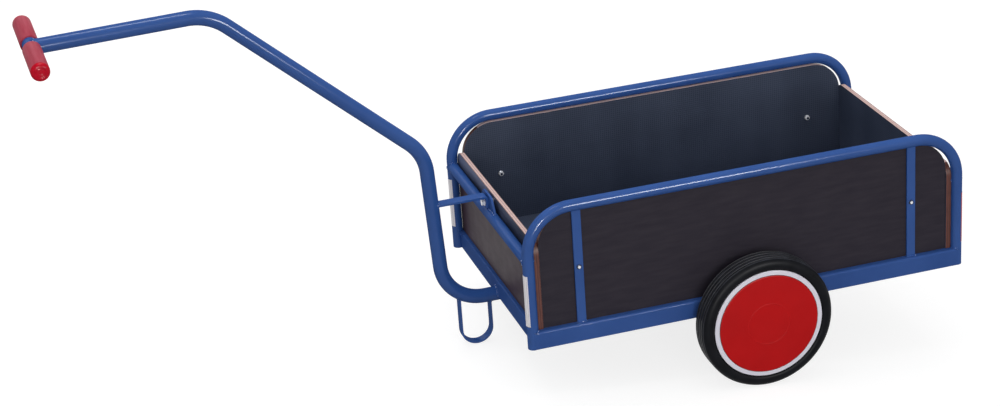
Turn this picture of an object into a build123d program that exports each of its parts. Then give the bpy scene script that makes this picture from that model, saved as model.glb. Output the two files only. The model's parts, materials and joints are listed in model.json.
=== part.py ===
"""Two-wheel garden hand cart, parked on its stand. Millimetres, +Z up, the drawbar towards -X.

Every piece is drawn with the load floor level. The origin of that level frame is under the middle
of the front posts, at the lower edge of the rails, with X to the rear. One move then parks the cart:
it leans forward until the wheels and the stand touch the ground together.
"""
import os
from math import asin, atan2, cos, degrees, hypot, radians, sin

from build123d import *

# Side hoops
POST_SPACING = 990.0
HOOP_SPACING = 570.0
HOOP_TUBE_D = 25.0
HOOP_TUBE_WALL = 2.0
HOOP_TOP_Z = 312.5
HOOP_BEND_R = 97.5
CROSS_TUBE_Z = 202.0
PLUG_DEPTH = 14.0

# Steel angle round the floor, and the bearers under it
RAIL_HEIGHT = 40.0
RAIL_LEG = 40.0
RAIL_T = 4.0
RAIL_OUTER_R = 5.0
RAIL_INNER_R = 2.0
END_RAIL_SETBACK = 4.3
BEARER_INSET = 180.0

# Plywood
PLY = 12.0
SIDE_PANEL_FACE = 282.5
SIDE_PANEL_TOP = 299.8
SIDE_PANEL_CORNER_R = 72.0
END_PANEL_FACE = 13.0
END_PANEL_HALF = 285.5
END_PANEL_TOP = 240.7
END_PANEL_CORNER_R = 28.0
FLOOR_GAP = 0.5

# Stays and panel fasteners
STAY_INSET = 110.5
STAY_W = 20.0
STAY_T = 5.0
PANEL_BOLT_Z = 170.0
PANEL_BOLT_D = 6.0
PANEL_BOLT_HOLE_D = 6.4
PANEL_BOLT_HEAD_D = 11.0
PANEL_BOLT_HEAD_H = 3.3
PANEL_WASHER_D = 13.0
PANEL_WASHER_T = 1.6
PANEL_NUT_AF = 10.0
PANEL_NUT_H = 5.0
PANEL_BOLT_TAIL = 2.0

# Floor screws
SCREW_D = 5.0
SCREW_HEAD_D = 10.0
SCREW_TAIL = 4.0
SCREW_Y = 180.0
SCREW_RAIL_X = 36.0
SCREW_BEARER_X = 200.0

# Drawbar, in its middle plane: X and Z of the corners of the centreline
DRAWBAR_D = 32.0
DRAWBAR_WALL = 2.5
DRAWBAR_ROOT_Z = 3.0
DRAWBAR_HEEL_X = -114.4
DRAWBAR_KNEE = (-133.0, 365.7)
DRAWBAR_NECK = (-560.4, 754.1)
HANDLE_AXIS = (-925.0, 745.0)
DRAWBAR_BEND_R = (95.0, 105.0, 115.0)
HANDLE_HALF_LENGTH = 153.0
GRIP_D = 39.0
GRIP_START = 18.0
GRIP_END = 163.0
GRIP_END_R = 8.0
GRIP_LIP_R = 1.5

# Strut between drawbar and cross tube
STRUT_W = 25.0
STRUT_T = 6.0
STRUT_TOP_Z = 245.0
STRUT_TAB_FACE = -1.0
STRUT_TAB_BOTTOM = 215.5
STRUT_BEND_R = 9.0
LUG_T = 5.0
LUG_TOP_Z = 247.5
LUG_TOP_HALF = 29.0
LUG_FOOT_HALF = 52.0
LUG_CORNER_R = 8.0
STRUT_BOLT_Z = 227.0
STRUT_BOLT_D = 8.0
STRUT_BOLT_HOLE_D = 8.4
STRUT_BOLT_AF = 13.0
STRUT_BOLT_HEAD_H = 5.5
STRUT_NUT_H = 5.8
STRUT_WASHER_D = 16.0
STRUT_WASHER_T = 1.6
STRUT_BOLT_TAIL = 1.2

# Parking stand
STAND_W = 20.0
STAND_T = 5.0
STAND_X = -48.0
STAND_HALF_SPAN = 35.0
STAND_BOTTOM_Z = -107.0
STAND_FRONT_TOP = 20.0
STAND_REAR_TOP = 3.0

# Axle, along Y; the distances are from the middle of the cart
AXLE_X = 504.4
AXLE_Z = -10.5
AXLE_D = 20.0
AXLE_END = 368.0
AXLE_CHAMFER = 1.5
BRACKET_T = 5.0
BRACKET_HALF_W = 34.0
BRACKET_TOP = 32.0
BRACKET_EYE_R = 22.0
COLLAR_D = 34.0
COLLAR_START = 298.5
COLLAR_W = 5.0
AXLE_WASHER_T = 1.5
AXIAL_PLAY = 0.3
PIN_D = 4.0
PIN_HOLE_D = 4.4
PIN_GAP = 0.5
PIN_HALF_LENGTH = 16.0
PIN_EYE_R = 4.0
PIN_EYE_WIRE_R = 1.8

# Wheels
WHEEL_R = 150.0
WHEEL_MIDDLE = 341.0
TYRE_HALF_W = 30.0
TYRE_BEAD_R = 110.0
GROOVE_POSITIONS = (-16.5, -5.5, 5.5, 16.5)
GROOVE_W = 3.6
GROOVE_DEPTH = 3.5
RIM_BARREL_R = 106.0
RIM_FLANGE_R = 124.0
RIM_HALF_W = 28.0
RIM_FLANGE_T = 3.5
RIM_WEB_T = 8.0
HUB_R = 27.0
HUB_LENGTH = 52.2
HUB_BORE_R = 13.0
BEARING_R = 21.0
BEARING_BORE_R = 10.05
BEARING_W = 12.0
CAP_R = 113.0
CAP_T = 2.0
CAP_EDGE_R = 1.2
CAP_SKIRT_R = 105.8
CAP_SKIRT_T = 2.5
CAP_SKIRT_DEPTH = 9.0

# Reflective strips on the posts
STRIP_T = 0.5
STRIP_HALF_ANGLE = 57.0
STRIP_BOTTOM = 55.0
STRIP_TOP = 173.0

HALF_SPACING = HOOP_SPACING / 2
RAIL_FACE = HALF_SPACING + HOOP_TUBE_D / 2
MIDDLE_X = Plane.YZ.offset(POST_SPACING / 2)
HUB_START = COLLAR_START + COLLAR_W + AXLE_WASHER_T + AXIAL_PLAY


def upright(y: float = 0.0) -> Plane:
    """The vertical plane along the cart at distance y: drawn X is X, drawn Y is Z."""
    return Plane(origin=(0, y, 0), x_dir=(1, 0, 0), z_dir=(0, -1, 0))


def across(x: float = 0.0) -> Plane:
    """The vertical plane across the cart at distance x: drawn X is Y, drawn Y is Z."""
    return Plane(origin=(x, 0, 0), x_dir=(0, 1, 0), z_dir=(1, 0, 0))


def block(x: tuple[float, float], y: tuple[float, float], z: tuple[float, float]) -> Part:
    """A box between the given limits."""
    middle = [(low + high) / 2 for low, high in (x, y, z)]
    return Pos(*middle) * Box(x[1] - x[0], y[1] - y[0], z[1] - z[0])


def rod_x(y: float, z: float, radius: float, start: float, end: float) -> Part:
    """A round rod along X."""
    return Pos((start + end) / 2, y, z) * Rot(0, 90, 0) * Cylinder(radius, end - start)


def rod_y(x: float, z: float, radius: float, start: float, end: float) -> Part:
    """A round rod along Y."""
    return Pos(x, (start + end) / 2, z) * Rot(90, 0, 0) * Cylinder(radius, end - start)


def bent_rod(points: list, bend_radius, radius: float, y: float = 0.0) -> Part:
    """A round rod along a bent centreline in the upright plane at y."""
    path = upright(y) * FilletPolyline(*points, radius=bend_radius)
    return sweep(Plane(origin=path @ 0, z_dir=path % 0) * Circle(radius), path=path)


def to_right(piece: Part) -> Part:
    """The right-hand twin of a left-hand piece."""
    return mirror(piece, about=Plane.XZ)


def to_rear(piece: Part) -> Part:
    """The rear twin of a front piece."""
    return mirror(piece, about=MIDDLE_X)


def group(pieces: list) -> Compound:
    """Separate solids that share one name."""
    return Compound([solid for piece in pieces for solid in piece.solids()])


def hoop_rod(side: int, radius: float) -> Part:
    """The hoop as a solid rod; side is -1 for the left one and 1 for the right one."""
    points = [(0, 0), (0, HOOP_TOP_Z), (POST_SPACING, HOOP_TOP_Z), (POST_SPACING, 0)]
    return bent_rod(points, HOOP_BEND_R, radius, side * HALF_SPACING)


def angle_face() -> Sketch:
    """Section of the steel angle: upright leg at X 0, flat leg on top and pointing to +X."""
    corners = [(0, 0), (RAIL_T, 0), (RAIL_T, RAIL_HEIGHT - RAIL_T), (RAIL_LEG, RAIL_HEIGHT - RAIL_T),
               (RAIL_LEG, RAIL_HEIGHT), (0, RAIL_HEIGHT)]
    face = make_face(Polyline(*corners, close=True))
    root = face.vertices().sort_by_distance((RAIL_T, RAIL_HEIGHT - RAIL_T))[0]
    face = fillet(root, RAIL_INNER_R)
    heel = face.vertices().sort_by_distance((0, RAIL_HEIGHT))[0]
    return fillet(heel, RAIL_OUTER_R)


def cross_angle(face_x: float, half_length: float) -> Part:
    """A steel angle across the cart, its flat leg towards the rear."""
    start = Plane(origin=(face_x, half_length, 0), x_dir=(1, 0, 0), z_dir=(0, -1, 0))
    return extrude(start * angle_face(), 2 * half_length)


def hexagon(across_flats: float, height: float) -> Part:
    """A hexagon prism standing on Z 0."""
    prism = extrude(RegularPolygon(across_flats / 2, 6, major_radius=False), height)
    cone = Cone(across_flats / 2 + height, across_flats / 2 * 0.96, height + across_flats * 0.02,
                align=(Align.CENTER, Align.CENTER, Align.MIN))
    return prism & cone


def revolved(points: list, side: int = -1) -> Part:
    """A turned piece on the axle line from (radius, distance from the cart's middle) points."""
    face = make_face(Polyline(*[(radius, side * out) for radius, out in points], close=True))
    return Pos(AXLE_X, 0, AXLE_Z) * revolve(face, axis=Axis.Y)


# Frame
left_solid_hoop = hoop_rod(-1, HOOP_TUBE_D / 2)
side_hoop_left = left_solid_hoop - hoop_rod(-1, HOOP_TUBE_D / 2 - HOOP_TUBE_WALL)
posts = [Pos(x, side * HALF_SPACING, HOOP_TOP_Z / 2) * Cylinder(HOOP_TUBE_D / 2, HOOP_TOP_Z + 60)
         for x in (0, POST_SPACING) for side in (-1, 1)]

rail_start = Plane(origin=(0, -RAIL_FACE, 0), x_dir=(0, 1, 0), z_dir=(1, 0, 0))
lower_rail_left = extrude(rail_start * angle_face(), POST_SPACING) - posts

drawbar_points = [(BEARER_INSET, DRAWBAR_ROOT_Z), (DRAWBAR_HEEL_X, DRAWBAR_ROOT_Z),
                  DRAWBAR_KNEE, DRAWBAR_NECK, HANDLE_AXIS]
solid_drawbar = bent_rod(drawbar_points, DRAWBAR_BEND_R, DRAWBAR_D / 2)

whole_end_rail = (cross_angle(END_RAIL_SETBACK, HALF_SPACING) - lower_rail_left
                  - to_right(lower_rail_left) - posts)
lower_rail_front = whole_end_rail - solid_drawbar
lower_rail_rear = to_rear(whole_end_rail)

cross_tube_front = rod_y(0, CROSS_TUBE_Z, HOOP_TUBE_D / 2, -HALF_SPACING, HALF_SPACING) - posts
cross_tube_front -= rod_y(0, CROSS_TUBE_Z, HOOP_TUBE_D / 2 - HOOP_TUBE_WALL, -HALF_SPACING, HALF_SPACING)
solid_cross_tube = rod_y(0, CROSS_TUBE_Z, HOOP_TUBE_D / 2, -HALF_SPACING, HALF_SPACING)

floor_bearer_front = cross_angle(BEARER_INSET, RAIL_FACE - RAIL_LEG)
plug = Pos(0, 0, PLUG_DEPTH / 2) * Cylinder(HOOP_TUBE_D / 2 - HOOP_TUBE_WALL, PLUG_DEPTH)
post_end_plugs = group([Pos(x, side * HALF_SPACING, 0) * plug
                        for x in (0, POST_SPACING) for side in (-1, 1)])

# Stays and side panels
bolt_positions = [STAY_INSET, POST_SPACING - STAY_INSET]
stay_front_left = block((STAY_INSET - STAY_W / 2, STAY_INSET + STAY_W / 2),
                        (-SIDE_PANEL_FACE - STAY_T, -SIDE_PANEL_FACE),
                        (RAIL_HEIGHT, HOOP_TOP_Z - HOOP_TUBE_D / 4))
stay_front_left -= rod_y(STAY_INSET, PANEL_BOLT_Z, PANEL_BOLT_HOLE_D / 2, -RAIL_FACE, 0)
stay_front_left -= left_solid_hoop

panel_ends = (END_PANEL_FACE + PLY, POST_SPACING - END_PANEL_FACE - PLY)
side_panel_left = block(panel_ends, (-SIDE_PANEL_FACE, -SIDE_PANEL_FACE + PLY), (RAIL_HEIGHT, SIDE_PANEL_TOP))
upper_corners = side_panel_left.edges().filter_by(Axis.Y).group_by(Axis.Z)[-1]
side_panel_left = fillet(upper_corners, SIDE_PANEL_CORNER_R)
for x in bolt_positions:
    side_panel_left -= rod_y(x, PANEL_BOLT_Z, PANEL_BOLT_HOLE_D / 2, -RAIL_FACE, 0)

panel_inside = SIDE_PANEL_FACE - PLY
washer_inside = panel_inside - PANEL_WASHER_T
nut_inside = washer_inside - PANEL_NUT_H
stay_face = SIDE_PANEL_FACE + STAY_T
panel_bolts, panel_washers, panel_nuts = [], [], []
for x in bolt_positions:
    head = Pos(x, -stay_face, PANEL_BOLT_Z) * Rot(90, 0, 0) * Cylinder(
        PANEL_BOLT_HEAD_D / 2, PANEL_BOLT_HEAD_H, align=(Align.CENTER, Align.CENTER, Align.MIN))
    head = fillet(head.edges().sort_by(Axis.Y)[0], PANEL_BOLT_HEAD_H * 0.7)
    shank = rod_y(x, PANEL_BOLT_Z, PANEL_BOLT_D / 2, -stay_face, -nut_inside + PANEL_BOLT_TAIL)
    panel_bolts.append(head + shank)
    washer = rod_y(x, PANEL_BOLT_Z, PANEL_WASHER_D / 2, -panel_inside, -washer_inside)
    panel_washers.append(washer - rod_y(x, PANEL_BOLT_Z, PANEL_BOLT_D / 2, -RAIL_FACE, 0))
    nut = Pos(x, -washer_inside, PANEL_BOLT_Z) * Rot(-90, 0, 0) * hexagon(PANEL_NUT_AF, PANEL_NUT_H)
    panel_nuts.append(nut - rod_y(x, PANEL_BOLT_Z, PANEL_BOLT_D / 2, -RAIL_FACE, 0))
panel_bolts = group(panel_bolts + [to_right(piece) for piece in panel_bolts])
panel_washers = group(panel_washers + [to_right(piece) for piece in panel_washers])
panel_nuts = group(panel_nuts + [to_right(piece) for piece in panel_nuts])

# End panels and floor
front_end_panel = block((END_PANEL_FACE, END_PANEL_FACE + PLY), (-END_PANEL_HALF, END_PANEL_HALF),
                        (RAIL_HEIGHT, END_PANEL_TOP))
upper_corners = front_end_panel.edges().filter_by(Axis.X).group_by(Axis.Z)[-1]
front_end_panel = fillet(upper_corners, END_PANEL_CORNER_R)

floor_panel = block((panel_ends[0] + FLOOR_GAP, panel_ends[1] - FLOOR_GAP),
                    (-panel_inside + FLOOR_GAP, panel_inside - FLOOR_GAP), (RAIL_HEIGHT, RAIL_HEIGHT + PLY))
screw_height = PLY + RAIL_T + SCREW_TAIL
screw = Cylinder(SCREW_D / 2, screw_height, align=(Align.CENTER, Align.CENTER, Align.MAX))
screw += Cone(SCREW_D / 2, SCREW_HEAD_D / 2, (SCREW_HEAD_D - SCREW_D) / 2,
              align=(Align.CENTER, Align.CENTER, Align.MAX))
screw_x = [SCREW_RAIL_X, SCREW_BEARER_X, POST_SPACING - SCREW_BEARER_X, POST_SPACING - SCREW_RAIL_X]
screws = [Pos(x, side * SCREW_Y, RAIL_HEIGHT + PLY) * screw for x in screw_x for side in (-1, 1)]
floor_panel -= screws
lower_rail_front -= screws
lower_rail_rear -= screws
floor_bearer_rear = to_rear(floor_bearer_front) - screws
floor_bearer_front -= screws
floor_screws = group(screws)

# Drawbar, handle and grips
solid_handle = rod_y(*HANDLE_AXIS, DRAWBAR_D / 2, -HANDLE_HALF_LENGTH, HANDLE_HALF_LENGTH)
handle_cross_tube = solid_handle - rod_y(*HANDLE_AXIS, DRAWBAR_D / 2 - DRAWBAR_WALL,
                                         -HANDLE_HALF_LENGTH, HANDLE_HALF_LENGTH)
drawbar_tube = solid_drawbar - bent_rod(drawbar_points, DRAWBAR_BEND_R, DRAWBAR_D / 2 - DRAWBAR_WALL)
drawbar_tube -= solid_handle

grip = rod_y(*HANDLE_AXIS, GRIP_D / 2, -GRIP_END, -GRIP_START)
grip = fillet(grip.edges().sort_by(Axis.Y)[0], GRIP_END_R)
grip = fillet(grip.edges().sort_by(Axis.Y)[-1], GRIP_LIP_R)
grip_left = grip - solid_handle

# Strut, its lug and its bolt
heel_lean = (DRAWBAR_KNEE[0] - DRAWBAR_HEEL_X) / (DRAWBAR_KNEE[1] - DRAWBAR_ROOT_Z)
strut_start = DRAWBAR_HEEL_X + heel_lean * (STRUT_TOP_Z - DRAWBAR_ROOT_Z)
strut_corners = [(strut_start, STRUT_TOP_Z), (STRUT_TAB_FACE, STRUT_TOP_Z), (STRUT_TAB_FACE, STRUT_TAB_BOTTOM),
                 (STRUT_TAB_FACE - STRUT_T, STRUT_TAB_BOTTOM), (STRUT_TAB_FACE - STRUT_T, STRUT_TOP_Z - STRUT_T),
                 (strut_start, STRUT_TOP_Z - STRUT_T)]
strut_face = make_face(Polyline(*strut_corners, close=True))
strut_face = fillet(strut_face.vertices().sort_by_distance(strut_corners[1])[0], STRUT_BEND_R)
strut_face = fillet(strut_face.vertices().sort_by_distance(strut_corners[4])[0], STRUT_BEND_R - STRUT_T)
drawbar_strut = extrude(upright() * strut_face, STRUT_W / 2, both=True)
strut_hole = rod_x(0, STRUT_BOLT_Z, STRUT_BOLT_HOLE_D / 2, -50, 50)
drawbar_strut = drawbar_strut - solid_drawbar - strut_hole

lug_corners = [(-LUG_FOOT_HALF, CROSS_TUBE_Z), (LUG_FOOT_HALF, CROSS_TUBE_Z),
               (LUG_FOOT_HALF, CROSS_TUBE_Z + HOOP_TUBE_D / 2), (LUG_TOP_HALF, LUG_TOP_Z),
               (-LUG_TOP_HALF, LUG_TOP_Z), (-LUG_FOOT_HALF, CROSS_TUBE_Z + HOOP_TUBE_D / 2)]
lug_face = make_face(Polyline(*lug_corners, close=True))
lug_face = fillet(lug_face.vertices().group_by(Axis.Y)[-1], LUG_CORNER_R)
strut_lug = extrude(across(STRUT_TAB_FACE) * lug_face, LUG_T) - solid_cross_tube - strut_hole

front_washer_x = STRUT_TAB_FACE - STRUT_T - STRUT_WASHER_T
rear_washer_x = STRUT_TAB_FACE + LUG_T
nut_x = rear_washer_x + STRUT_WASHER_T
bolt_end_x = nut_x + STRUT_NUT_H + STRUT_BOLT_TAIL
strut_shank = rod_x(0, STRUT_BOLT_Z, STRUT_BOLT_D / 2, front_washer_x, bolt_end_x)
bolt_head = Pos(front_washer_x, 0, STRUT_BOLT_Z) * Rot(0, -90, 0) * hexagon(STRUT_BOLT_AF, STRUT_BOLT_HEAD_H)
strut_bolt = bolt_head + strut_shank
strut_washers = group([rod_x(0, STRUT_BOLT_Z, STRUT_WASHER_D / 2, x, x + STRUT_WASHER_T) - strut_shank
                       for x in (front_washer_x, rear_washer_x)])
strut_nut = Pos(nut_x, 0, STRUT_BOLT_Z) * Rot(0, 90, 0) * hexagon(STRUT_BOLT_AF, STRUT_NUT_H) - strut_shank

# Parking stand
stand_outer = STAND_HALF_SPAN + STAND_T / 2
stand_inner = STAND_HALF_SPAN - STAND_T / 2
stand_arc_z = STAND_BOTTOM_Z + stand_outer
stand_half = (-STAND_W / 2, STAND_W / 2)
parking_stand = rod_y(STAND_X, stand_arc_z, stand_outer, *stand_half)
parking_stand -= rod_y(STAND_X, stand_arc_z, stand_inner, *stand_half)
parking_stand -= block((STAND_X - 100, STAND_X + 100), stand_half, (stand_arc_z, stand_arc_z + 100))
parking_stand += block((STAND_X - stand_outer, STAND_X - stand_inner), stand_half, (stand_arc_z, STAND_FRONT_TOP))
parking_stand += block((STAND_X + stand_inner, STAND_X + stand_outer), stand_half, (stand_arc_z, STAND_REAR_TOP))
parking_stand -= solid_drawbar

# Axle and what holds the wheels on it
axle = rod_y(AXLE_X, AXLE_Z, AXLE_D / 2, -AXLE_END, AXLE_END)
axle = chamfer(axle.edges().filter_by(GeomType.CIRCLE), AXLE_CHAMFER)
hub_end = HUB_START + HUB_LENGTH
outer_washer = hub_end + AXIAL_PLAY
pin_y = outer_washer + AXLE_WASHER_T + PIN_GAP + PIN_D / 2
axle -= [Pos(AXLE_X, side * pin_y, AXLE_Z) * Cylinder(PIN_HOLE_D / 2, AXLE_D * 2) for side in (-1, 1)]
pin = Cylinder(PIN_D / 2, 2 * PIN_HALF_LENGTH) + Pos(0, 0, PIN_HALF_LENGTH + PIN_EYE_R) * Rot(90, 0, 0) * Torus(
    PIN_EYE_R, PIN_EYE_WIRE_R)
axle_split_pins = group([Pos(AXLE_X, side * pin_y, AXLE_Z) * pin for side in (-1, 1)])

bracket_foot = [(AXLE_X - BRACKET_HALF_W, BRACKET_TOP), (AXLE_X + BRACKET_HALF_W, BRACKET_TOP),
                (AXLE_X + BRACKET_EYE_R, AXLE_Z), (AXLE_X - BRACKET_EYE_R, AXLE_Z)]
bracket_face = make_face(Polyline(*bracket_foot, close=True)) + Pos(AXLE_X, AXLE_Z) * Circle(BRACKET_EYE_R)
bracket_face -= Pos(AXLE_X, AXLE_Z) * Circle(AXLE_D / 2)
axle_bracket_left = extrude(upright(-RAIL_FACE + RAIL_T + BRACKET_T) * bracket_face, BRACKET_T)


def on_axle(outer_r: float, bore_r: float, start: float, end: float, side: int) -> Part:
    """A plain ring on the axle line."""
    return revolved([(bore_r, start), (outer_r, start), (outer_r, end), (bore_r, end)], side)


axle_collars = group([on_axle(COLLAR_D / 2, AXLE_D / 2, COLLAR_START, COLLAR_START + COLLAR_W, side)
                      for side in (-1, 1)])
axle_washers = group([on_axle(COLLAR_D / 2, AXLE_D / 2, start, start + AXLE_WASHER_T, side)
                      for start in (COLLAR_START + COLLAR_W, outer_washer) for side in (-1, 1)])


def tyre_points() -> list:
    """Section of the ribbed solid tyre as (radius, distance from the cart's middle)."""
    bead = RIM_HALF_W - RIM_FLANGE_T
    shoulder = [(RIM_FLANGE_R + 0.5, bead), (RIM_FLANGE_R + 3, TYRE_HALF_W - 1.6),
                (RIM_FLANGE_R + 8, TYRE_HALF_W), (WHEEL_R - 12, TYRE_HALF_W), (WHEEL_R - 6.5, TYRE_HALF_W - 1.8),
                (WHEEL_R - 2.4, TYRE_HALF_W - 5.2), (WHEEL_R, TYRE_HALF_W - 9.5)]
    tread = []
    for position in GROOVE_POSITIONS:
        tread += [(WHEEL_R, position - GROOVE_W / 2), (WHEEL_R - GROOVE_DEPTH, position - GROOVE_W / 3),
                  (WHEEL_R - GROOVE_DEPTH, position + GROOVE_W / 3), (WHEEL_R, position + GROOVE_W / 2)]
    section = [(TYRE_BEAD_R, -bead)] + [(radius, -out) for radius, out in shoulder] + tread
    section += list(reversed(shoulder)) + [(TYRE_BEAD_R, bead)]
    return [(radius, WHEEL_MIDDLE + out) for radius, out in section]


def wheel(side: int) -> dict:
    """The turning pieces of one wheel."""
    inner, outer = WHEEL_MIDDLE - RIM_HALF_W, WHEEL_MIDDLE + RIM_HALF_W
    web = (WHEEL_MIDDLE - RIM_WEB_T / 2, WHEEL_MIDDLE + RIM_WEB_T / 2)
    inner_seat, outer_seat = HUB_START + BEARING_W, hub_end - BEARING_W
    rim = [(RIM_BARREL_R, inner), (RIM_FLANGE_R, inner), (RIM_FLANGE_R, inner + RIM_FLANGE_T),
           (TYRE_BEAD_R, inner + RIM_FLANGE_T), (TYRE_BEAD_R, outer - RIM_FLANGE_T),
           (RIM_FLANGE_R, outer - RIM_FLANGE_T), (RIM_FLANGE_R, outer), (RIM_BARREL_R, outer),
           (RIM_BARREL_R, web[1]), (HUB_R, web[1]), (HUB_R, hub_end), (BEARING_R, hub_end),
           (BEARING_R, outer_seat), (HUB_BORE_R, outer_seat), (HUB_BORE_R, inner_seat), (BEARING_R, inner_seat),
           (BEARING_R, HUB_START), (HUB_R, HUB_START), (HUB_R, web[0]), (RIM_BARREL_R, web[0])]
    rim = revolved(rim, side)
    flange_edges = [edge for edge in rim.edges().filter_by(GeomType.CIRCLE) if edge.radius > RIM_FLANGE_R - 0.1
                    and abs(abs(edge.center().Y) - outer) < 0.1]
    cap_face = outer + CAP_T
    cap = [(0, outer), (0, cap_face), (CAP_R, cap_face), (CAP_R, outer), (CAP_SKIRT_R, outer),
           (CAP_SKIRT_R, outer - CAP_SKIRT_DEPTH), (CAP_SKIRT_R - CAP_SKIRT_T, outer - CAP_SKIRT_DEPTH),
           (CAP_SKIRT_R - CAP_SKIRT_T, outer)]
    cap = revolved(cap, side)
    cap_edges = [edge for edge in cap.edges().filter_by(GeomType.CIRCLE) if edge.radius > CAP_R - 0.1
                 and abs(abs(edge.center().Y) - cap_face) < 0.1]
    bearings = [on_axle(BEARING_R, BEARING_BORE_R, start, start + BEARING_W, side)
                for start in (HUB_START, outer_seat)]
    return {"tyre": revolved(tyre_points(), side), "rim": fillet(flange_edges, RIM_FLANGE_T * 0.5),
            "bearings": group(bearings), "hub_cap": fillet(cap_edges, CAP_EDGE_R)}


# Reflective strips
ring = Circle(HOOP_TUBE_D / 2 + STRIP_T) - Circle(HOOP_TUBE_D / 2)
reach = 2 * HOOP_TUBE_D
wedge = make_face(Polyline((0, 0), (-reach * cos(radians(STRIP_HALF_ANGLE)), reach * sin(radians(STRIP_HALF_ANGLE))),
                           (-reach, 0), (-reach * cos(radians(STRIP_HALF_ANGLE)),
                                         -reach * sin(radians(STRIP_HALF_ANGLE))), close=True))
strip = Pos(0, -HALF_SPACING, STRIP_BOTTOM) * extrude(ring & wedge, STRIP_TOP - STRIP_BOTTOM)

pieces = {
    "side_hoop_left": side_hoop_left,
    "side_hoop_right": to_right(side_hoop_left),
    "lower_rail_left": lower_rail_left,
    "lower_rail_right": to_right(lower_rail_left),
    "lower_rail_front": lower_rail_front,
    "lower_rail_rear": lower_rail_rear,
    "cross_tube_front": cross_tube_front,
    "cross_tube_rear": to_rear(cross_tube_front),
    "floor_bearer_front": floor_bearer_front,
    "floor_bearer_rear": floor_bearer_rear,
    "post_end_plugs": post_end_plugs,
    "stay_front_left": stay_front_left,
    "stay_rear_left": to_rear(stay_front_left),
    "stay_front_right": to_right(stay_front_left),
    "stay_rear_right": to_rear(to_right(stay_front_left)),
    "side_panel_left": side_panel_left,
    "side_panel_right": to_right(side_panel_left),
    "front_end_panel": front_end_panel,
    "rear_end_panel": to_rear(front_end_panel),
    "floor_panel": floor_panel,
    "floor_screws": floor_screws,
    "panel_bolts": panel_bolts,
    "panel_washers": panel_washers,
    "panel_nuts": panel_nuts,
    "drawbar_tube": drawbar_tube,
    "handle_cross_tube": handle_cross_tube,
    "grip_left": grip_left,
    "grip_right": to_right(grip_left),
    "drawbar_strut": drawbar_strut,
    "strut_lug": strut_lug,
    "strut_bolt": strut_bolt,
    "strut_washers": strut_washers,
    "strut_nut": strut_nut,
    "parking_stand": parking_stand,
    "axle_bracket_left": axle_bracket_left,
    "axle_bracket_right": to_right(axle_bracket_left),
    "axle": axle,
    "axle_collars": axle_collars,
    "axle_washers": axle_washers,
    "axle_split_pins": axle_split_pins,
    "reflector_front_left": strip,
    "reflector_front_right": to_right(strip),
    "reflector_rear_left": to_rear(strip),
    "reflector_rear_right": to_rear(to_right(strip)),
}
for name, side in (("left", -1), ("right", 1)):
    pieces |= {f"wheel_{name}_{key}": piece for key, piece in wheel(side).items()}

# Parking: the nose goes down until the stand's arc and the wheels stand on one plane
to_axle_x, to_axle_z = AXLE_X - STAND_X, AXLE_Z - stand_arc_z
park_angle = asin((WHEEL_R - stand_outer) / hypot(to_axle_x, to_axle_z)) - atan2(to_axle_z, to_axle_x)
lift = WHEEL_R - (AXLE_X * sin(park_angle) + AXLE_Z * cos(park_angle))
front_end = HANDLE_AXIS[0] * cos(park_angle) - HANDLE_AXIS[1] * sin(park_angle) - GRIP_D / 2
rear_end = (POST_SPACING + HOOP_TUBE_D / 2) * cos(park_angle)
park = Pos(-(front_end + rear_end) / 2, 0, lift) * Rot(0, -degrees(park_angle), 0)

os.makedirs("parts", exist_ok=True)
for name, piece in pieces.items():
    export_step(park * piece, f"parts/{name}.step")
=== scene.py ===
"""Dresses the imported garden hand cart: painted tubes, film-faced boards, ribbed wheels, red grips.

Each piece is modelled in metres with the load floor level, X to the rear and the origin under the
middle of the front posts at the lower edge of the rails. One matrix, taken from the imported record,
then parks it on its wheels and stand.
"""

import functools
import json
import logging
import math
from dataclasses import dataclass
from enum import Enum
from typing import Callable, Sequence

import bmesh
import bpy
from mathutils import Color, Matrix, Vector


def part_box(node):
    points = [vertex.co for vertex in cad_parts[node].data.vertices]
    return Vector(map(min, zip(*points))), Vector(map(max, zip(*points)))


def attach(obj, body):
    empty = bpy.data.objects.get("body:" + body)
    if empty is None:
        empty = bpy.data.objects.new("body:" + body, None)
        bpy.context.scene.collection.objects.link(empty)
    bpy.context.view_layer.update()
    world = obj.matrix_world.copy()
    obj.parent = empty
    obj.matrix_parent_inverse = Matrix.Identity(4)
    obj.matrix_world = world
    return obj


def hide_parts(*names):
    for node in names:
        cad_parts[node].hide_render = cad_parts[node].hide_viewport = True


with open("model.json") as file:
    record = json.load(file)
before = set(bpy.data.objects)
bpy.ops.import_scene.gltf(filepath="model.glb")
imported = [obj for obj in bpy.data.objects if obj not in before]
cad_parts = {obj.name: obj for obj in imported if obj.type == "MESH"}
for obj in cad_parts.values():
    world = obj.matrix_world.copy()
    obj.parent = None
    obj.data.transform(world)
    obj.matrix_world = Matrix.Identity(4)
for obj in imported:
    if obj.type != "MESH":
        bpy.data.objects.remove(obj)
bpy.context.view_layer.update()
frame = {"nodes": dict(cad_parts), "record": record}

LOG = logging.getLogger("garden_cart")
Colour = tuple[float, float, float, float]
Point = Sequence[float]

# Sizes that several sub-assemblies share, in metres of the level drawing
POST_SPACING = 0.990
POST_GAP = 0.285
POST_RADIUS = 0.0125
CROSS_HEIGHT = 0.202
RAIL_HEIGHT = 0.040
RAIL_SETBACK = 0.0043
STAY_X = 0.1105
STAY_WIDTH = 0.020
BAR_RADIUS = 0.016
BAR_ROOT = 0.003
HEEL_BEND = 0.095
HANDLE = (-0.925, 0.0, 0.745)
STRUT_WIDTH = 0.025
STAND_WIDTH = 0.020
STAND_THICK = 0.005
VENEER = 0.0048

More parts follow.
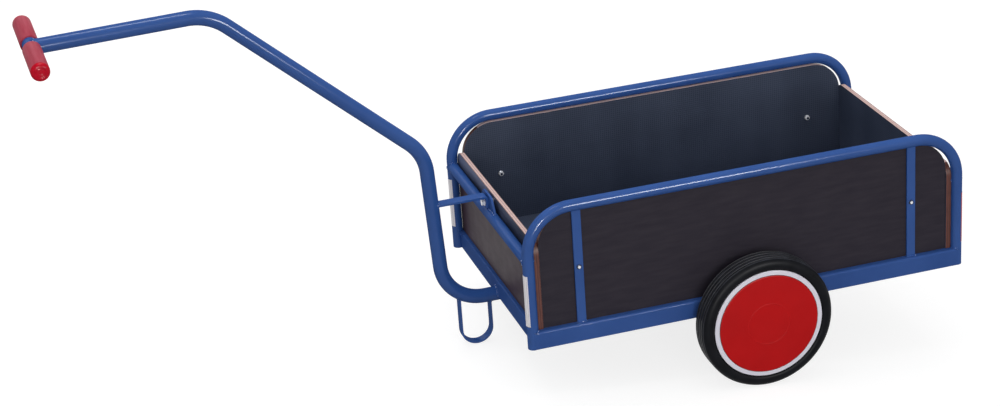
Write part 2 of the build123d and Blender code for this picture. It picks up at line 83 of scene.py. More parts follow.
CHASSIS = "chassis"
MIRROR_Y = Matrix.Diagonal((1, -1, 1, 1))
TO_REAR = Matrix.Translation((POST_SPACING, 0, 0)) @ Matrix.Diagonal((-1, 1, 1, 1))
TO_REAR_RIGHT = TO_REAR @ MIRROR_Y

# Lengths closer than EPS are the same; FACING and ALONG are the cosines of nearly straight ways
EPS = 1e-5
FACING = 0.9
ALONG = 0.99


def near(value: float, target: float) -> bool:
    """Whether two lengths are the same."""
    return abs(value - target) < EPS


def tone(red: int, green: int, blue: int) -> Colour:
    """A screen colour, 0 to 255 a channel, as the linear colour that the shader takes."""
    screen = Color((red / 255, green / 255, blue / 255))
    return *screen.from_srgb_to_scene_linear(), 1.0


class Side(Enum):
    """The two long sides of the cart, as the sign of Y."""

    LEFT = -1
    RIGHT = 1

    @property
    def word(self) -> str:
        """The side's name as the nodes have it."""
        return self.name.lower()


@dataclass(frozen=True)
class Parking:
    """The move from the level drawing to the parked cart.

    The lean comes from the load floor's mount and the shift from the axle, which keeps its level
    place.
    """

    axle_x: float = 0.5044
    axle_z: float = -0.0105

    @property
    def lean(self) -> float:
        """Angle, in radians, by which the nose is down."""
        axis = next(m["axis"] for m in frame["record"]["mounts"] if m["name"] == "load_floor")
        return math.atan2(-axis[0], axis[2])

    @property
    def matrix(self) -> Matrix:
        """Level drawing to row frame.

        Returns:
            The matrix.
        """
        low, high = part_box("axle")
        turn = Matrix.Rotation(-self.lean, 4, "Y")
        to_axle = Matrix.Translation((-self.axle_x, 0, -self.axle_z))
        return Matrix.Translation((low + high) / 2) @ turn @ to_axle


PARKING = Parking()
PARK = PARKING.matrix


class Socket:
    """A shader socket with Python's operators: each expression adds its Math nodes."""

    def __init__(self, bench: "NodeBench", out: bpy.types.NodeSocket) -> None:
        """Holds an output of a node on the bench."""
        self.bench, self.out = bench, out

    def maths(self, operation: str, *values: "Socket | float") -> "Socket":
        """One Math node over the given values, in order."""
        sockets = dict(enumerate(values))
        return self.bench.node("ShaderNodeMath", {"operation": operation}, sockets)

    def __add__(self, other: "Socket | float") -> "Socket":
        """self + other."""
        return self.maths("ADD", self, other)

    def __radd__(self, other: float) -> "Socket":
        """other + self."""
        return self.maths("ADD", other, self)

    def __sub__(self, other: "Socket | float") -> "Socket":
        """self - other."""
        return self.maths("SUBTRACT", self, other)

    def __rsub__(self, other: float) -> "Socket":
        """other - self."""
        return self.maths("SUBTRACT", other, self)

    def __mul__(self, other: "Socket | float") -> "Socket":
        """self * other."""
        return self.maths("MULTIPLY", self, other)

    def __rmul__(self, other: float) -> "Socket":
        """other * self."""
        return self.maths("MULTIPLY", other, self)

    def __gt__(self, other: "Socket | float") -> "Socket":
        """1 where self is above other."""
        return self.maths("GREATER_THAN", self, other)

    def __lt__(self, other: "Socket | float") -> "Socket":
        """1 where self is below other."""
        return self.maths("LESS_THAN", self, other)

    def __abs__(self) -> "Socket":
        """Size without sign."""
        return self.maths("ABSOLUTE", self)

    def sine(self) -> "Socket":
        """Sine of an angle in radians."""
        return self.maths("SINE", self)

    def larger(self, other: "Socket | float") -> "Socket":
        """The larger of the two."""
        return self.maths("MAXIMUM", self, other)

    def ridge(self, pitch: float) -> "Socket":
        """0 to 1 to 0 over each pitch of a length."""
        return abs((self * (math.pi / pitch)).sine())


class NodeBench:
    """A node tree and the one way in which nodes get into it."""

    def __init__(self, tree: bpy.types.NodeTree) -> None:
        """Takes the tree to fill."""
        self.tree = tree

    def node(self, kind: str, settings: dict | None = None, sockets: dict | None = None,
             out: str | int = 0) -> Socket:
        """Adds one node.

        Args:
            kind: The node's type.
            settings: Its properties, set before the sockets; "stops" holds a ramp's pairs of place
                and colour.
            sockets: Values or links of its inputs, by name or number.
            out: The output to return, by name or number.

        Returns:
            That output.
        """
        made = self.tree.nodes.new(kind)
        for key, value in (settings or {}).items():
            if key != "stops":
                setattr(made, key, value)
                continue
            for element, (place, colour) in zip(made.color_ramp.elements, value):
                element.position, element.color = place, colour
        for key, value in (sockets or {}).items():
            self.feed(made.inputs[key], value)
        return Socket(self, made.outputs[out])

    def feed(self, into: bpy.types.NodeSocket, value: "Socket | float | Sequence[float]") -> None:
        """Links or sets one input.

        Args:
            into: The input.
            value: What it gets, a link for a socket.
        """
        if isinstance(value, Socket):
            self.tree.links.new(value.out, into)
        else:
            into.default_value = value

    def blend(self, factor: Socket, first: Socket | Colour, second: Socket | Colour) -> Socket:
        """First colour where factor is 0, second where it is 1."""
        sockets = {0: factor, 6: first, 7: second}
        return self.node("ShaderNodeMix", {"data_type": "RGBA"}, sockets, 2)

    def seen(self) -> Socket:
        """What the camera sees, also in gloss and through glass.

        Returns:
            1 for those rays and 0 for diffuse light.
        """
        camera, glossy, through = (self.node("ShaderNodeLightPath", out=f"Is {ray} Ray")
                                   for ray in ("Camera", "Glossy", "Transmission"))
        return camera.larger(glossy).larger(through)


@dataclass(frozen=True)
class Grain:
    """Soft noise: features a metre, octaves, and extra scale along the level axes."""

    scale: float
    detail: float = 2.0
    stretch: tuple[float, float, float] = (1.0, 1.0, 1.0)


@dataclass(frozen=True)
class Relief:
    """How far a height map raises a surface: the bump's strength, and metres between 0 and 1."""

    strength: float
    depth: float


class Recipe(NodeBench):
    """The node tree of one finish on a Principled surface."""

    def __init__(self, name: str) -> None:
        """Starts an empty material with its shader and the place on the level cart.

        Args:
            name: The material's name.
        """
        self.material = bpy.data.materials.new(name)
        self.material.use_nodes = True
        super().__init__(self.material.node_tree)
        self.shader = self.tree.nodes["Principled BSDF"]
        parked = {"Vector": self.node("ShaderNodeTexCoord", out="Object"),
                  "Location": PARK.to_translation(), "Rotation": PARK.to_euler()}
        self.place = self.node("ShaderNodeMapping", {"vector_type": "TEXTURE"}, parked)
        self.level = tuple(self.node("ShaderNodeSeparateXYZ", None, {"Vector": self.place}, axis)
                           for axis in "XYZ")

    def noise(self, grain: Grain) -> Socket:
        """Soft noise over the level place.

        Args:
            grain: Its scale, octaves and stretch.

        Returns:
            The noise, 0 to 1.
        """
        spread = self.node("ShaderNodeMapping", None,
                           {"Vector": self.place, "Scale": grain.stretch})
        sockets = {"Vector": spread, "Scale": grain.scale, "Detail": grain.detail}
        return self.node("ShaderNodeTexNoise", None, sockets, "Fac")

    def between(self, value: Socket, first: Colour, second: Colour,
                stops: tuple[float, float] = (0.3, 0.75)) -> Socket:
        """A value turned into a colour: the first up to one stop, the second from the other."""
        pairs = tuple(zip(stops, (first, second)))
        return self.node("ShaderNodeValToRGB", {"stops": pairs}, {"Fac": value}, "Color")

    def emboss(self, height: Socket, relief: Relief) -> None:
        """Raises the surface by a height map of 0 to 1."""
        sockets = {"Height": height, "Strength": relief.strength, "Distance": relief.depth}
        self.skin(Normal=self.node("ShaderNodeBump", None, sockets))

    def skin(self, **sockets: "Socket | float | Sequence[float]") -> None:
        """Values or links of the shader's inputs; an underscore stands for a space."""
        for key, value in sockets.items():
            self.feed(self.shader.inputs[key.replace("_", " ")], value)


def uneven(level: float, swing: float, noise: Socket) -> Socket:
    """A level that swings up and down with a noise."""
    return level + swing * (noise - 0.5)


@dataclass(frozen=True)
class Finish:
    """What every finish has: a name, the record's slot and a recipe."""

    name: str
    slot: str

    @functools.cache
    def material(self) -> bpy.types.Material:
        """The finish as a material, made once.

        Returns:
            The material.
        """
        recipe = Recipe(self.name)
        self.lay(recipe)
        return recipe.material

    def lay(self, recipe: Recipe) -> None:
        """Fills the recipe's tree."""
        raise NotImplementedError


@dataclass(frozen=True)
class Mottled(Finish):
    """A finish that clouds between two tones, its gloss uneven over a fine grain."""

    dark: Colour
    light: Colour
    gloss: float
    gloss_swing: float
    cloud: Grain
    mottle: Grain
    grain: Grain
    relief: Relief
    stops: tuple[float, float] = (0.3, 0.75)
    shine: float = 0.5

    def tint(self, recipe: Recipe) -> Socket:
        """The clouded colour."""
        return recipe.between(recipe.noise(self.cloud), self.dark, self.light, self.stops)

    def extras(self, recipe: Recipe) -> dict:
        """Inputs of the shader that only some finishes use."""
        return {}

    def lay(self, recipe: Recipe) -> None:
        """Colour, gloss and grain.

        Args:
            recipe: The tree to fill.
        """
        roughness = uneven(self.gloss, self.gloss_swing, recipe.noise(self.mottle))
        recipe.skin(Base_Color=self.tint(recipe), Roughness=roughness,
                    Specular_IOR_Level=self.shine, **self.extras(recipe))
        recipe.emboss(recipe.noise(self.grain), self.relief)


@dataclass(frozen=True)
class FramePaint(Mottled):
    """Blue stove enamel on steel: slight orange peel, thin places lighter, a clear top."""

    name: str = "blue_enamel"
    slot: str = "frame_paint"
    dark: Colour = tone(47, 82, 147)
    light: Colour = tone(53, 89, 156)
    gloss: float = 0.26
    gloss_swing: float = 0.14
    cloud: Grain = Grain(9, 3)
    mottle: Grain = Grain(60, 3)
    grain: Grain = Grain(420)
    relief: Relief = Relief(0.012, 0.0002)
    shine: float = 0.0
    top: float = 0.042
    top_swing: float = 0.016
    top_index: float = 3.0
    top_gloss: float = 0.15
    pools: Grain = Grain(25)

    def cover(self, spread: Socket) -> dict:
        """The clear top, thicker where spread is high."""
        return {"Coat_Weight": self.top + self.top_swing * spread, "Coat_IOR": self.top_index,
                "Coat_Roughness": self.top_gloss}

    def extras(self, recipe: Recipe) -> dict:
        """The clear top."""
        return self.cover(recipe.noise(self.pools))


@dataclass(frozen=True)
class WeldPaint(FramePaint):
    """The same enamel over a weld bead, with small painted glints scattered over it."""

    name: str = "weld_enamel"
    gloss_swing: float = 0.1
    cloud: Grain = Grain(160, 3)
    grain: Grain = Grain(600, 3)
    relief: Relief = Relief(0.3, 0.0006)
    top: float = 0.05
    top_swing: float = 0.08
    top_gloss: float = 0.08
    # Pale blue-white grains: painted glints.
    painted_glint: Colour = tone(186, 200, 232)
    glint_spots: Grain = Grain(330)
    glint_above: float = 0.62

    def lay(self, recipe: Recipe) -> None:
        """Clouded by a fine noise, with scattered bright grains of painted glint.

        Args:
            recipe: The tree to fill.
        """
        glint_spots = recipe.noise(self.glint_spots) > self.glint_above
        recipe.skin(Base_Color=recipe.blend(glint_spots, self.tint(recipe), self.painted_glint),
                    Roughness=self.gloss + self.gloss_swing * glint_spots,
                    Specular_IOR_Level=self.shine, **self.cover(glint_spots))
        recipe.emboss(recipe.noise(self.grain), self.relief)


@dataclass(frozen=True)
class SmoothFilm(Mottled):
    """The smooth brown-black film outside the boards: long faint veneer streaks, scuffed gloss."""

    name: str = "smooth_film"
    slot: str = "film_plywood"
    dark: Colour = tone(45, 41, 50)
    light: Colour = tone(53, 49, 57)
    gloss: float = 0.46
    gloss_swing: float = 0.16
    cloud: Grain = Grain(14, 4, (1, 1, 6))
    mottle: Grain = Grain(35, 4)
    grain: Grain = Grain(90, 3, (0.25, 0.25, 5))
    relief: Relief = Relief(0.04, 0.0006)
    shine: float = 0.05


@dataclass(frozen=True)
class ReflectionPaintedFilm(SmoothFilm):
    """The front board's film: paler as painted light, with a painted blue-grey reflection along the
    top.
    """

    name: str = "film_with_painted_reflection"
    # Paler than the side film: painted light, for the light that falls on this face from the left.
    dark: Colour = tone(54, 42, 50)
    light: Colour = tone(64, 50, 58)
    shine: float = 0.055
    band: float = 0.2
    dim_reflection: Colour = tone(42, 48, 64)
    painted_light: Colour = tone(104, 112, 138)
    rate: float = 13
    rate_to_right: float = 50
    patches: Grain = Grain(40, 3, (1, 0.3, 2))
    patch_share: float = 0.5
    patch_mean: float = 0.4
    reflection_stops: tuple[float, float] = (0.1, 0.7)

    def tint(self, recipe: Recipe) -> Socket:
        """The painted reflection band over the cross tube, palest at the edge and towards the right.

        Args:
            recipe: The tree to fill.

        Returns:
            The colour.
        """
        # Painted reflection: a blue grey that rises towards the top edge and the right, in patches.
        _, across, up = recipe.level
        reflection_amount = (up - self.band) * (self.rate + self.rate_to_right * across)
        reflection_amount += self.patch_share * (recipe.noise(self.patches) - self.patch_mean)
        reflection_colour = recipe.between(reflection_amount, self.dim_reflection, self.painted_light, self.reflection_stops)
        return recipe.blend(up > self.band, super().tint(recipe), reflection_colour)


class Sheet(Enum):
    """The plane that a board lies in, as the two level axes of its face."""

    SIDE = (0, 2)
    ACROSS = (1, 2)
    FLOOR = (0, 1)


@dataclass(frozen=True)
class MeshFilm(Finish):
    """The grip film inside the box, pressed with a fine wire mesh."""

    slot: str = "film_plywood"
    plane: Sheet = Sheet.SIDE
    pitch: float = 0.005
    valley: Colour = tone(42, 50, 67)
    crest: Colour = tone(80, 89, 110)
    stops: tuple[float, float] = (0.1, 0.95)
    mesh_share: float = 0.36
    cloud: Grain = Grain(7, 3)
    cloud_share: float = 0.45
    cloud_mean: float = 0.25
    bands: Grain = Grain(9, 2, (1, 1, 0.12))
    band_share: float = 0.4
    band_mean: float = 0.3
    # Below this height the film is painted paler: painted light that lifts the shade low in the box.
    painted_light_below: float = 0.2
    painted_light_rate: float = 2.2
    gloss: float = 0.55
    gloss_swing: float = 0.2
    shine: float = 0.08
    relief: Relief = Relief(0.35, 0.0006)

    def lay(self, recipe: Recipe) -> None:
        """A square grid of fine ridges over broad soft bands, made paler low down by painted light.

        Args:
            recipe: The tree to fill.
        """
        across, up = (recipe.level[axis] for axis in self.plane.value)
        mesh = (1 - across.ridge(self.pitch)).larger(1 - up.ridge(self.pitch))
        cloud = recipe.noise(self.cloud)
        # Painted light: paler towards the bottom of the box.
        painted_light = self.painted_light_rate * (self.painted_light_below - recipe.level[2]).larger(0.0)
        shade = self.mesh_share * mesh + self.cloud_share * (cloud - self.cloud_mean)
        shade += self.band_share * (recipe.noise(self.bands) - self.band_mean)
        shade += painted_light
        recipe.skin(Base_Color=recipe.between(shade, self.valley, self.crest, self.stops),
                    Roughness=uneven(self.gloss, self.gloss_swing, cloud),
                    Specular_IOR_Level=self.shine)
        recipe.emboss(mesh, self.relief)


@dataclass(frozen=True)
class BoardEdge(Finish):
    """What the edges of a board share: veneers across the thickness and little shine."""

    slot: str = "film_plywood"
    thickness_axis: int = 1
    shine: float = 0.2

    def veneers(self, recipe: Recipe) -> Socket:
        """The veneer lines."""
        return recipe.level[self.thickness_axis].ridge(VENEER)


@dataclass(frozen=True)
class LightPaintedEdge(BoardEdge):
    """A sawn ply edge facing up, pale as painted light: thin veneers, the cross-grain ones darker.
    """

    # The pale tone is painted light from above; the brown marks the veneer lines.
    pale: Colour = tone(214, 186, 180)
    brown: Colour = tone(150, 114, 108)
    stops: tuple[float, float] = (0.15, 0.75)
    veneer_share: float = 0.6
    pore: Grain = Grain(220, 4)
    pore_share: float = 0.75
    pore_mean: float = 0.15
    gloss: float = 0.75
    gloss_swing: float = 0.1
    relief: Relief = Relief(0.3, 0.0003)

    def lay(self, recipe: Recipe) -> None:
        """Veneer lines across the thickness, pores and saw marks along them.

        Args:
            recipe: The tree to fill.
        """
        pore = recipe.noise(self.pore)
        tint = self.veneer_share * self.veneers(recipe) + self.pore_share * (pore - self.pore_mean)
        recipe.skin(Base_Color=recipe.between(tint, self.brown, self.pale, self.stops),
                    Roughness=uneven(self.gloss, self.gloss_swing, pore),
                    Specular_IOR_Level=self.shine)
        recipe.emboss(tint, self.relief)


@dataclass(frozen=True)
class ShadePaintedEdge(BoardEdge):
    """A board edge that does not face up, dark brown as painted shade, its veneers showing."""

    # Dark browns of the painted shade on the edges that do not face up.
    thin: Colour = tone(104, 57, 48)
    thick: Colour = tone(58, 31, 27)
    stops: tuple[float, float] = (0.25, 0.75)
    veneer_share: float = 0.35
    brush: Grain = Grain(70, 4, (3, 3, 0.6))
    streak_share: float = 0.65
    gloss: float = 0.5
    gloss_swing: float = 0.15
    relief: Relief = Relief(0.25, 0.0005)

    def lay(self, recipe: Recipe) -> None:
        """Faint veneer lines in the painted shade, under a streaky mottle.

        Args:
            recipe: The tree to fill.
        """
        brush = recipe.noise(self.brush)
        tint = self.veneer_share * self.veneers(recipe) + self.streak_share * brush
        recipe.skin(Base_Color=recipe.between(tint, self.thick, self.thin, self.stops),
                    Roughness=uneven(self.gloss, self.gloss_swing, brush),
                    Specular_IOR_Level=self.shine)
        recipe.emboss(brush, self.relief)


@dataclass(frozen=True)
class Plating(Mottled):
    """Bright zinc or ground steel, with a slightly milky bloom and fine handling marks."""

    name: str = "zinc_plate"
    slot: str = "zinc_steel"
    dark: Colour = tone(216, 218, 224)
    light: Colour = tone(246, 247, 250)
    gloss: float = 0.24
    gloss_swing: float = 0.15
    cloud: Grain = Grain(240, 3)
    mottle: Grain = Grain(500)
    grain: Grain = Grain(1200)
    relief: Relief = Relief(0.08, 0.0002)
    stops: tuple[float, float] = (0.3, 0.7)
    metal: float = 0.35

    def extras(self, recipe: Recipe) -> dict:
        """How metallic it looks."""
        return {"Metallic": self.metal}


@dataclass(frozen=True)
class BoltPlating(Plating):
    """Panel bolt zinc: painted dark reflection round each head, dark on the cut thread inside."""

    name: str = "bolt_zinc"
    # Dark tone of the painted reflection round the heads, also used on the thread ends inside.
    rim_shade_and_end_dark: Colour = tone(46, 54, 76)
    middle: float = 0.495
    reach: float = 0.3845
    height: float = 0.170
    unshaded_core: float = 0.0031
    inside: float = 0.2705

    def tint(self, recipe: Recipe) -> Socket:
        """Bright in the middle of the head, a painted dark reflection round it, and dark within the
        box.

        Args:
            recipe: The tree to fill.

        Returns:
            The colour.
        """
        along, across, up = recipe.level
        off, rise = abs(along - self.middle) - self.reach, up - self.height
        # Painted reflection: the head is dark outside a small bright core.
        rim = off * off + rise * rise > self.unshaded_core ** 2
        return recipe.blend(rim.larger(abs(across) < self.inside), super().tint(recipe), self.rim_shade_and_end_dark)


@dataclass(frozen=True)
class GripVinyl(Mottled):
    """Red vinyl of the handle grips: a satin sleeve with painted pinkish sheen, or the glossy
    moulded end.
    """

    name: str = "grip_sleeve"
    slot: str = "grip_red"
    # Pinkish sleeve tones: painted sheen of the light from above on the red vinyl.
    dark: Colour = tone(162, 52, 70)
    light: Colour = tone(178, 76, 92)
    gloss: float = 0.5
    gloss_swing: float = 0.12
    cloud: Grain = Grain(150, 3, (1, 0.08, 1))
    mottle: Grain = Grain(120)
    grain: Grain = Grain(900)
    relief: Relief = Relief(0.1, 0.0003)
    shine: float = 0.02
    top: float = 0.0
    top_index: float = 3.0
    top_gloss: float = 0.12

    def extras(self, recipe: Recipe) -> dict:
        """The glossy skin that the mould leaves."""
        return {"Coat_Weight": self.top, "Coat_IOR": self.top_index,
                "Coat_Roughness": self.top_gloss}


@dataclass(frozen=True)
class Rubber(Mottled):
    """Black tyre rubber with a moulded grain, dusty in patches."""

    name: str = "tyre_black"
    slot: str = "tyre_rubber"
    dark: Colour = tone(14, 15, 19)
    light: Colour = tone(24, 25, 30)
    gloss: float = 0.44
    gloss_swing: float = 0.2
    cloud: Grain = Grain(30, 4)
    mottle: Grain = Grain(30, 4)
    grain: Grain = Grain(700, 3)
    relief: Relief = Relief(0.12, 0.0004)
    stops: tuple[float, float] = (0.35, 0.85)
    shine: float = 0.05


@dataclass(frozen=True)
class MouldedPlastic(Mottled):
    """Smooth injection-moulded plastic: faint flow marks under a fine spark-eroded grain."""

    name: str = "moulded_plastic"
    slot: str = "rim_white"
    dark: Colour = tone(228, 226, 238)
    light: Colour = tone(236, 234, 244)
    gloss: float = 0.38
    gloss_swing: float = 0.12
    cloud: Grain = Grain(11, 3)
    mottle: Grain = Grain(50, 3)
    grain: Grain = Grain(900)
    relief: Relief = Relief(0.06, 0.0003)
    shine: float = 0.3


@dataclass(frozen=True)
class ReflexFilm(Finish):
    """Reflective film: small cells under a clear top, with thin seams along it."""

    name: str = "reflex_white"
    slot: str = "strip_white"
    cell: Colour = tone(240, 236, 240)
    line: Colour = tone(176, 172, 180)
    stops: tuple[float, float] = (0.1, 0.9)
    base: float = 0.8
    cell_pitch: float = 0.0036
    cell_gain: float = 0.15
    seam_pitch: float = 0.0042
    seam_share: float = 0.25
    seam_loss: float = 0.6
    gloss: float = 0.3
    gloss_swing: float = 0.1
    shine: float = 0.3
    top: float = 0.3
    top_gloss: float = 0.08
    relief: Relief = Relief(0.1, 0.0002)

    def lay(self, recipe: Recipe) -> None:
        """Diamond cells between seams along the strip.

        Args:
            recipe: The tree to fill.
        """
        _, across, up = recipe.level
        rising, falling = ((across + up).ridge(self.cell_pitch),
                           (across - up).ridge(self.cell_pitch))
        cells = rising.larger(1 - falling)
        seams = across.ridge(self.seam_pitch) < self.seam_share
        shade = self.base + self.cell_gain * cells - self.seam_loss * seams
        recipe.skin(Base_Color=recipe.between(shade, self.line, self.cell, self.stops),
                    Roughness=self.gloss + self.gloss_swing * cells, Coat_Weight=self.top,
                    Coat_Roughness=self.top_gloss, Specular_IOR_Level=self.shine)
        recipe.emboss(cells, self.relief)


PAINT = FramePaint()
RAIL_PAINT = FramePaint("rail_enamel", dark=tone(52, 83, 146), light=tone(58, 90, 155), top=0.016,
                        top_swing=0.006)
WELD = WeldPaint()
ZINC = Plating()
BOLT = BoltPlating()
# The inner nuts: near white and barely metallic so that they read bright, a painted reflection.
NUT = Plating("nut_zinc", dark=tone(236, 238, 244), light=tone(253, 253, 255), metal=0.1,
              gloss=0.2)
WASHER = Plating("washer_zinc", dark=tone(92, 96, 104), light=tone(120, 124, 132), metal=0.5,
                 gloss=0.35)
STEEL = Plating("ground_steel", "bearing_steel", tone(104, 104, 108), tone(150, 150, 152),
                metal=1.0, gloss=0.34)
FILM = SmoothFilm()
FRONT_FILM = ReflectionPaintedFilm()
GRIP = GripVinyl()
GRIP_END = GripVinyl("grip_end", dark=tone(186, 3, 32), light=tone(196, 6, 38), gloss=0.28,
                     shine=0.0, top=0.03)
RUBBER = Rubber()
# The tread ribs: their own gloss, and a paler rubber tone that is painted sheen.
TREAD_SHEEN = Rubber("tyre_tread_sheen", dark=tone(34, 35, 40), light=tone(58, 60, 68), gloss=0.45, shine=0.1)
RIM = MouldedPlastic()
CAP = MouldedPlastic("signal_red", "cap_red", tone(184, 10, 14), tone(194, 12, 16), 0.42, shine=0.1)
PLUG = MouldedPlastic("plug_plastic", "plug_black", tone(26, 26, 28), tone(34, 34, 36), 0.55)
WHITE_STRIP = ReflexFilm()
RED_STRIP = ReflexFilm("reflex_red", "strip_red", tone(176, 26, 30), tone(120, 12, 18))


class Piece:
    """One mesh on the bench, shaped with Blender's own operators, then parked and dressed."""

    def __init__(self, name: str) -> None:
        """Takes over the object that the last primitive made.

        Args:
            name: The piece's name.
        """
        self.obj = bpy.context.object
        self.obj.name = self.obj.data.name = name
        self.coats: list[Finish] = []
        bpy.ops.object.transform_apply(location=True, rotation=True, scale=True)
        bpy.ops.object.mode_set(mode="EDIT")
        bpy.ops.mesh.select_mode(type="VERT")

    @staticmethod
    def clear() -> None:
        """Nothing selected, in object mode."""
        if bpy.context.object and bpy.context.object.mode != "OBJECT":
            bpy.ops.object.mode_set(mode="OBJECT")
        bpy.ops.object.select_all(action="DESELECT")

    @classmethod
    def block(cls, name: str, low: Point, high: Point) -> "Piece":
        """A block between two corners.

        Args:
            name: The piece's name.
            low: Its lowest corner.
            high: Its highest corner.

        Returns:
            The block.
        """
        cls.clear()
        low, high = Vector(low), Vector(high)
        bpy.ops.mesh.primitive_cube_add(size=1, location=(low + high) / 2, scale=high - low)
        return cls(name)

    @classmethod
    def rod(cls, name: str, start: Point, end: Point, radius: float, sides: int) -> "Piece":
        """A round bar with flat ends.

        Args:
            name: The piece's name.
            start: Middle of one end.
            end: Middle of the other.
            radius: Its radius.
            sides: Faces round it.

        Returns:
            The bar.
        """
        cls.clear()
        start, end = Vector(start), Vector(end)
        turn = (end - start).to_track_quat("Z", "Y").to_euler()
        bpy.ops.mesh.primitive_cylinder_add(vertices=sides, radius=radius,
                                            depth=(end - start).length,
                                            location=(start + end) / 2, rotation=turn)
        return cls(name)

    @classmethod
    def tube(cls, name: str, corners: Sequence[Point], bends: Sequence[float], radius: float,
             sides: int, degrees_a_step: float = 4, fewest_steps: int = 4) -> "Piece":
        """A bent tube: a ring drawn out along each run and spun round each bend.

        Args:
            name: The piece's name.
            corners: Ends and corners of the centreline.
            bends: Bend radius at each inner corner.
            radius: Outside radius of the tube.
            sides: Faces round the tube.
            degrees_a_step: How fine a bend is.
            fewest_steps: Steps of the smallest bend.

        Returns:
            The tube, open at both ends.
        """
        cls.clear()
        points = [Vector(corner) for corner in corners]
        runs = [(after - before).normalized() for before, after in zip(points, points[1:])]
        bpy.ops.mesh.primitive_circle_add(vertices=sides, radius=radius, location=points[0],
                                          rotation=runs[0].to_track_quat("Z", "Y").to_euler())
        piece = cls(name)
        bpy.ops.mesh.select_all(action="SELECT")
        here = points[0]
        for corner, bend, way, turned in zip(points[1:], bends, runs, runs[1:]):
            angle = way.angle(turned)
            start = corner - way * bend * math.tan(angle / 2)
            piece.extrude(start - here)
            axle = way.cross(turned).normalized()
            steps = max(fewest_steps, round(math.degrees(angle) / degrees_a_step))
            bpy.ops.mesh.spin(steps=steps, angle=angle, axis=-axle,
                              center=start + axle.cross(way) * bend)
            here = corner + turned * bend * math.tan(angle / 2)
        piece.extrude(points[-1] - here)
        return piece.closed()

    @classmethod
    def line(cls, name: str, points: Sequence[Vector], loop: bool) -> "Piece":
        """A line drawn point by point, its vertices selected.

        Args:
            name: The piece's name.
            points: The line's corners.
            loop: Whether it closes on itself.

        Returns:
            The line.
        """
        cls.clear()
        seed_size = 0.01
        bpy.ops.mesh.primitive_plane_add(size=seed_size, location=points[0])
        piece = cls(name)
        bpy.ops.mesh.select_all(action="SELECT")
        bpy.ops.mesh.merge(type="CENTER")
        for before, after in zip(points, list(points[1:]) + [points[0]] * loop):
            piece.extrude(after - before)
        piece.merged()
        bpy.ops.mesh.select_all(action="SELECT")
        return piece

    @classmethod
    def turned(cls, name: str, centre: Point, section: Sequence[tuple[float, float]], side: Side,
               steps: int) -> "Piece":
        """A turned piece on an axis along Y, from a closed section drawn point by point.

        Args:
            name: The piece's name.
            centre: A point of the axis, with the Y that the section starts from.
            section: Radius and outward distance of each corner.
            side: The side that outward points to.
            steps: Faces round the axis.

        Returns:
            The piece, its doubles merged and its faces outwards.
        """
        corners = [Vector(centre) + Vector((radius, side.value * out, 0))
                   for radius, out in section]
        piece = cls.line(name, corners, True)
        bpy.ops.mesh.spin(steps=steps, angle=math.tau, center=centre, axis=(0, 1, 0))
        return piece.closed()

    @classmethod
    def bead(cls, name: str, path: Sequence[Point], radius: float, loop: bool = False) -> "Piece":
        """A weld bead: a line along the seam with a round section that ripples.

        Args:
            name: The piece's name.
            path: Points along the seam, one for each half ripple.
            radius: Mean radius of the bead.
            loop: Whether the seam closes on itself.

        Returns:
            The bead.
        """
        hollow, crest, roundness = 0.85, 1.2, 2
        cls.line(name, [Vector(point) for point in path], loop)
        bpy.ops.object.mode_set(mode="OBJECT")
        bpy.ops.object.convert(target="CURVE")
        curve = bpy.context.object.data
        curve.bevel_depth, curve.bevel_resolution, curve.use_fill_caps = radius, roundness, True
        for number, point in enumerate(curve.splines[0].points):
            point.radius = crest if number % 2 else hollow
        bpy.ops.object.convert(target="MESH")
        return cls(name).closed()

    def alone(self) -> None:
        """Selects the piece and nothing else."""
        self.clear()
        self.obj.select_set(True)
        bpy.context.view_layer.objects.active = self.obj

    def join(self, others: Sequence["Piece"]) -> "Piece":
        """Takes other pieces of the same finish into this one.

        Args:
            others: The pieces, which are gone afterwards.

        Returns:
            This piece.
        """
        self.alone()
        for piece in others:
            piece.obj.select_set(True)
        bpy.ops.object.join()
        bpy.ops.object.mode_set(mode="EDIT")
        return self

    def faces(self, test: Callable[[Vector, Vector], bool]) -> "Piece":
        """Selects the faces that pass a test.

        Args:
            test: The test of a face's middle and normal.

        Returns:
            The piece.
        """
        bpy.ops.mesh.select_mode(type="FACE")
        bpy.ops.mesh.select_all(action="DESELECT")
        mesh = bmesh.from_edit_mesh(self.obj.data)
        for face in mesh.faces:
            face.select_set(bool(test(face.calc_center_median(), face.normal)))
        bmesh.update_edit_mesh(self.obj.data)
        return self

    def edges(self, test: Callable[[Vector], bool], along: int | None = None) -> "Piece":
        """Selects the edges whose two ends both pass a test.

        Args:
            test: The test of an end's place.
            along: The axis that the edge has to follow, or None for any.

        Returns:
            The piece.
        """
        bpy.ops.mesh.select_mode(type="EDGE")
        bpy.ops.mesh.select_all(action="DESELECT")
        mesh = bmesh.from_edit_mesh(self.obj.data)
        for edge in mesh.edges:
            way = (edge.verts[1].co - edge.verts[0].co).normalized()
            edge.select_set(all(test(corner.co) for corner in edge.verts)
                            and (along is None or abs(way[along]) > ALONG))
        bmesh.update_edit_mesh(self.obj.data)
        return self

    def extrude(self, step: Point) -> "Piece":
        """Draws the selection out by a step."""
        bpy.ops.mesh.extrude_region_move(TRANSFORM_OT_translate={"value": tuple(step)})
        return self

    def inset(self, width: float) -> "Piece":
        """Insets the selected faces."""
        bpy.ops.mesh.inset(thickness=width)
        return self

    def bevel(self, width: float, segments: int) -> "Piece":
        """Rounds the selected edges."""
        bpy.ops.mesh.bevel(offset=width, segments=segments, affect="EDGES")
        return self

    def scale(self, by: Point, about: Point) -> "Piece":
        """Scales the selection about a point."""
        bpy.ops.transform.resize(value=tuple(by), center_override=tuple(about))
        return self

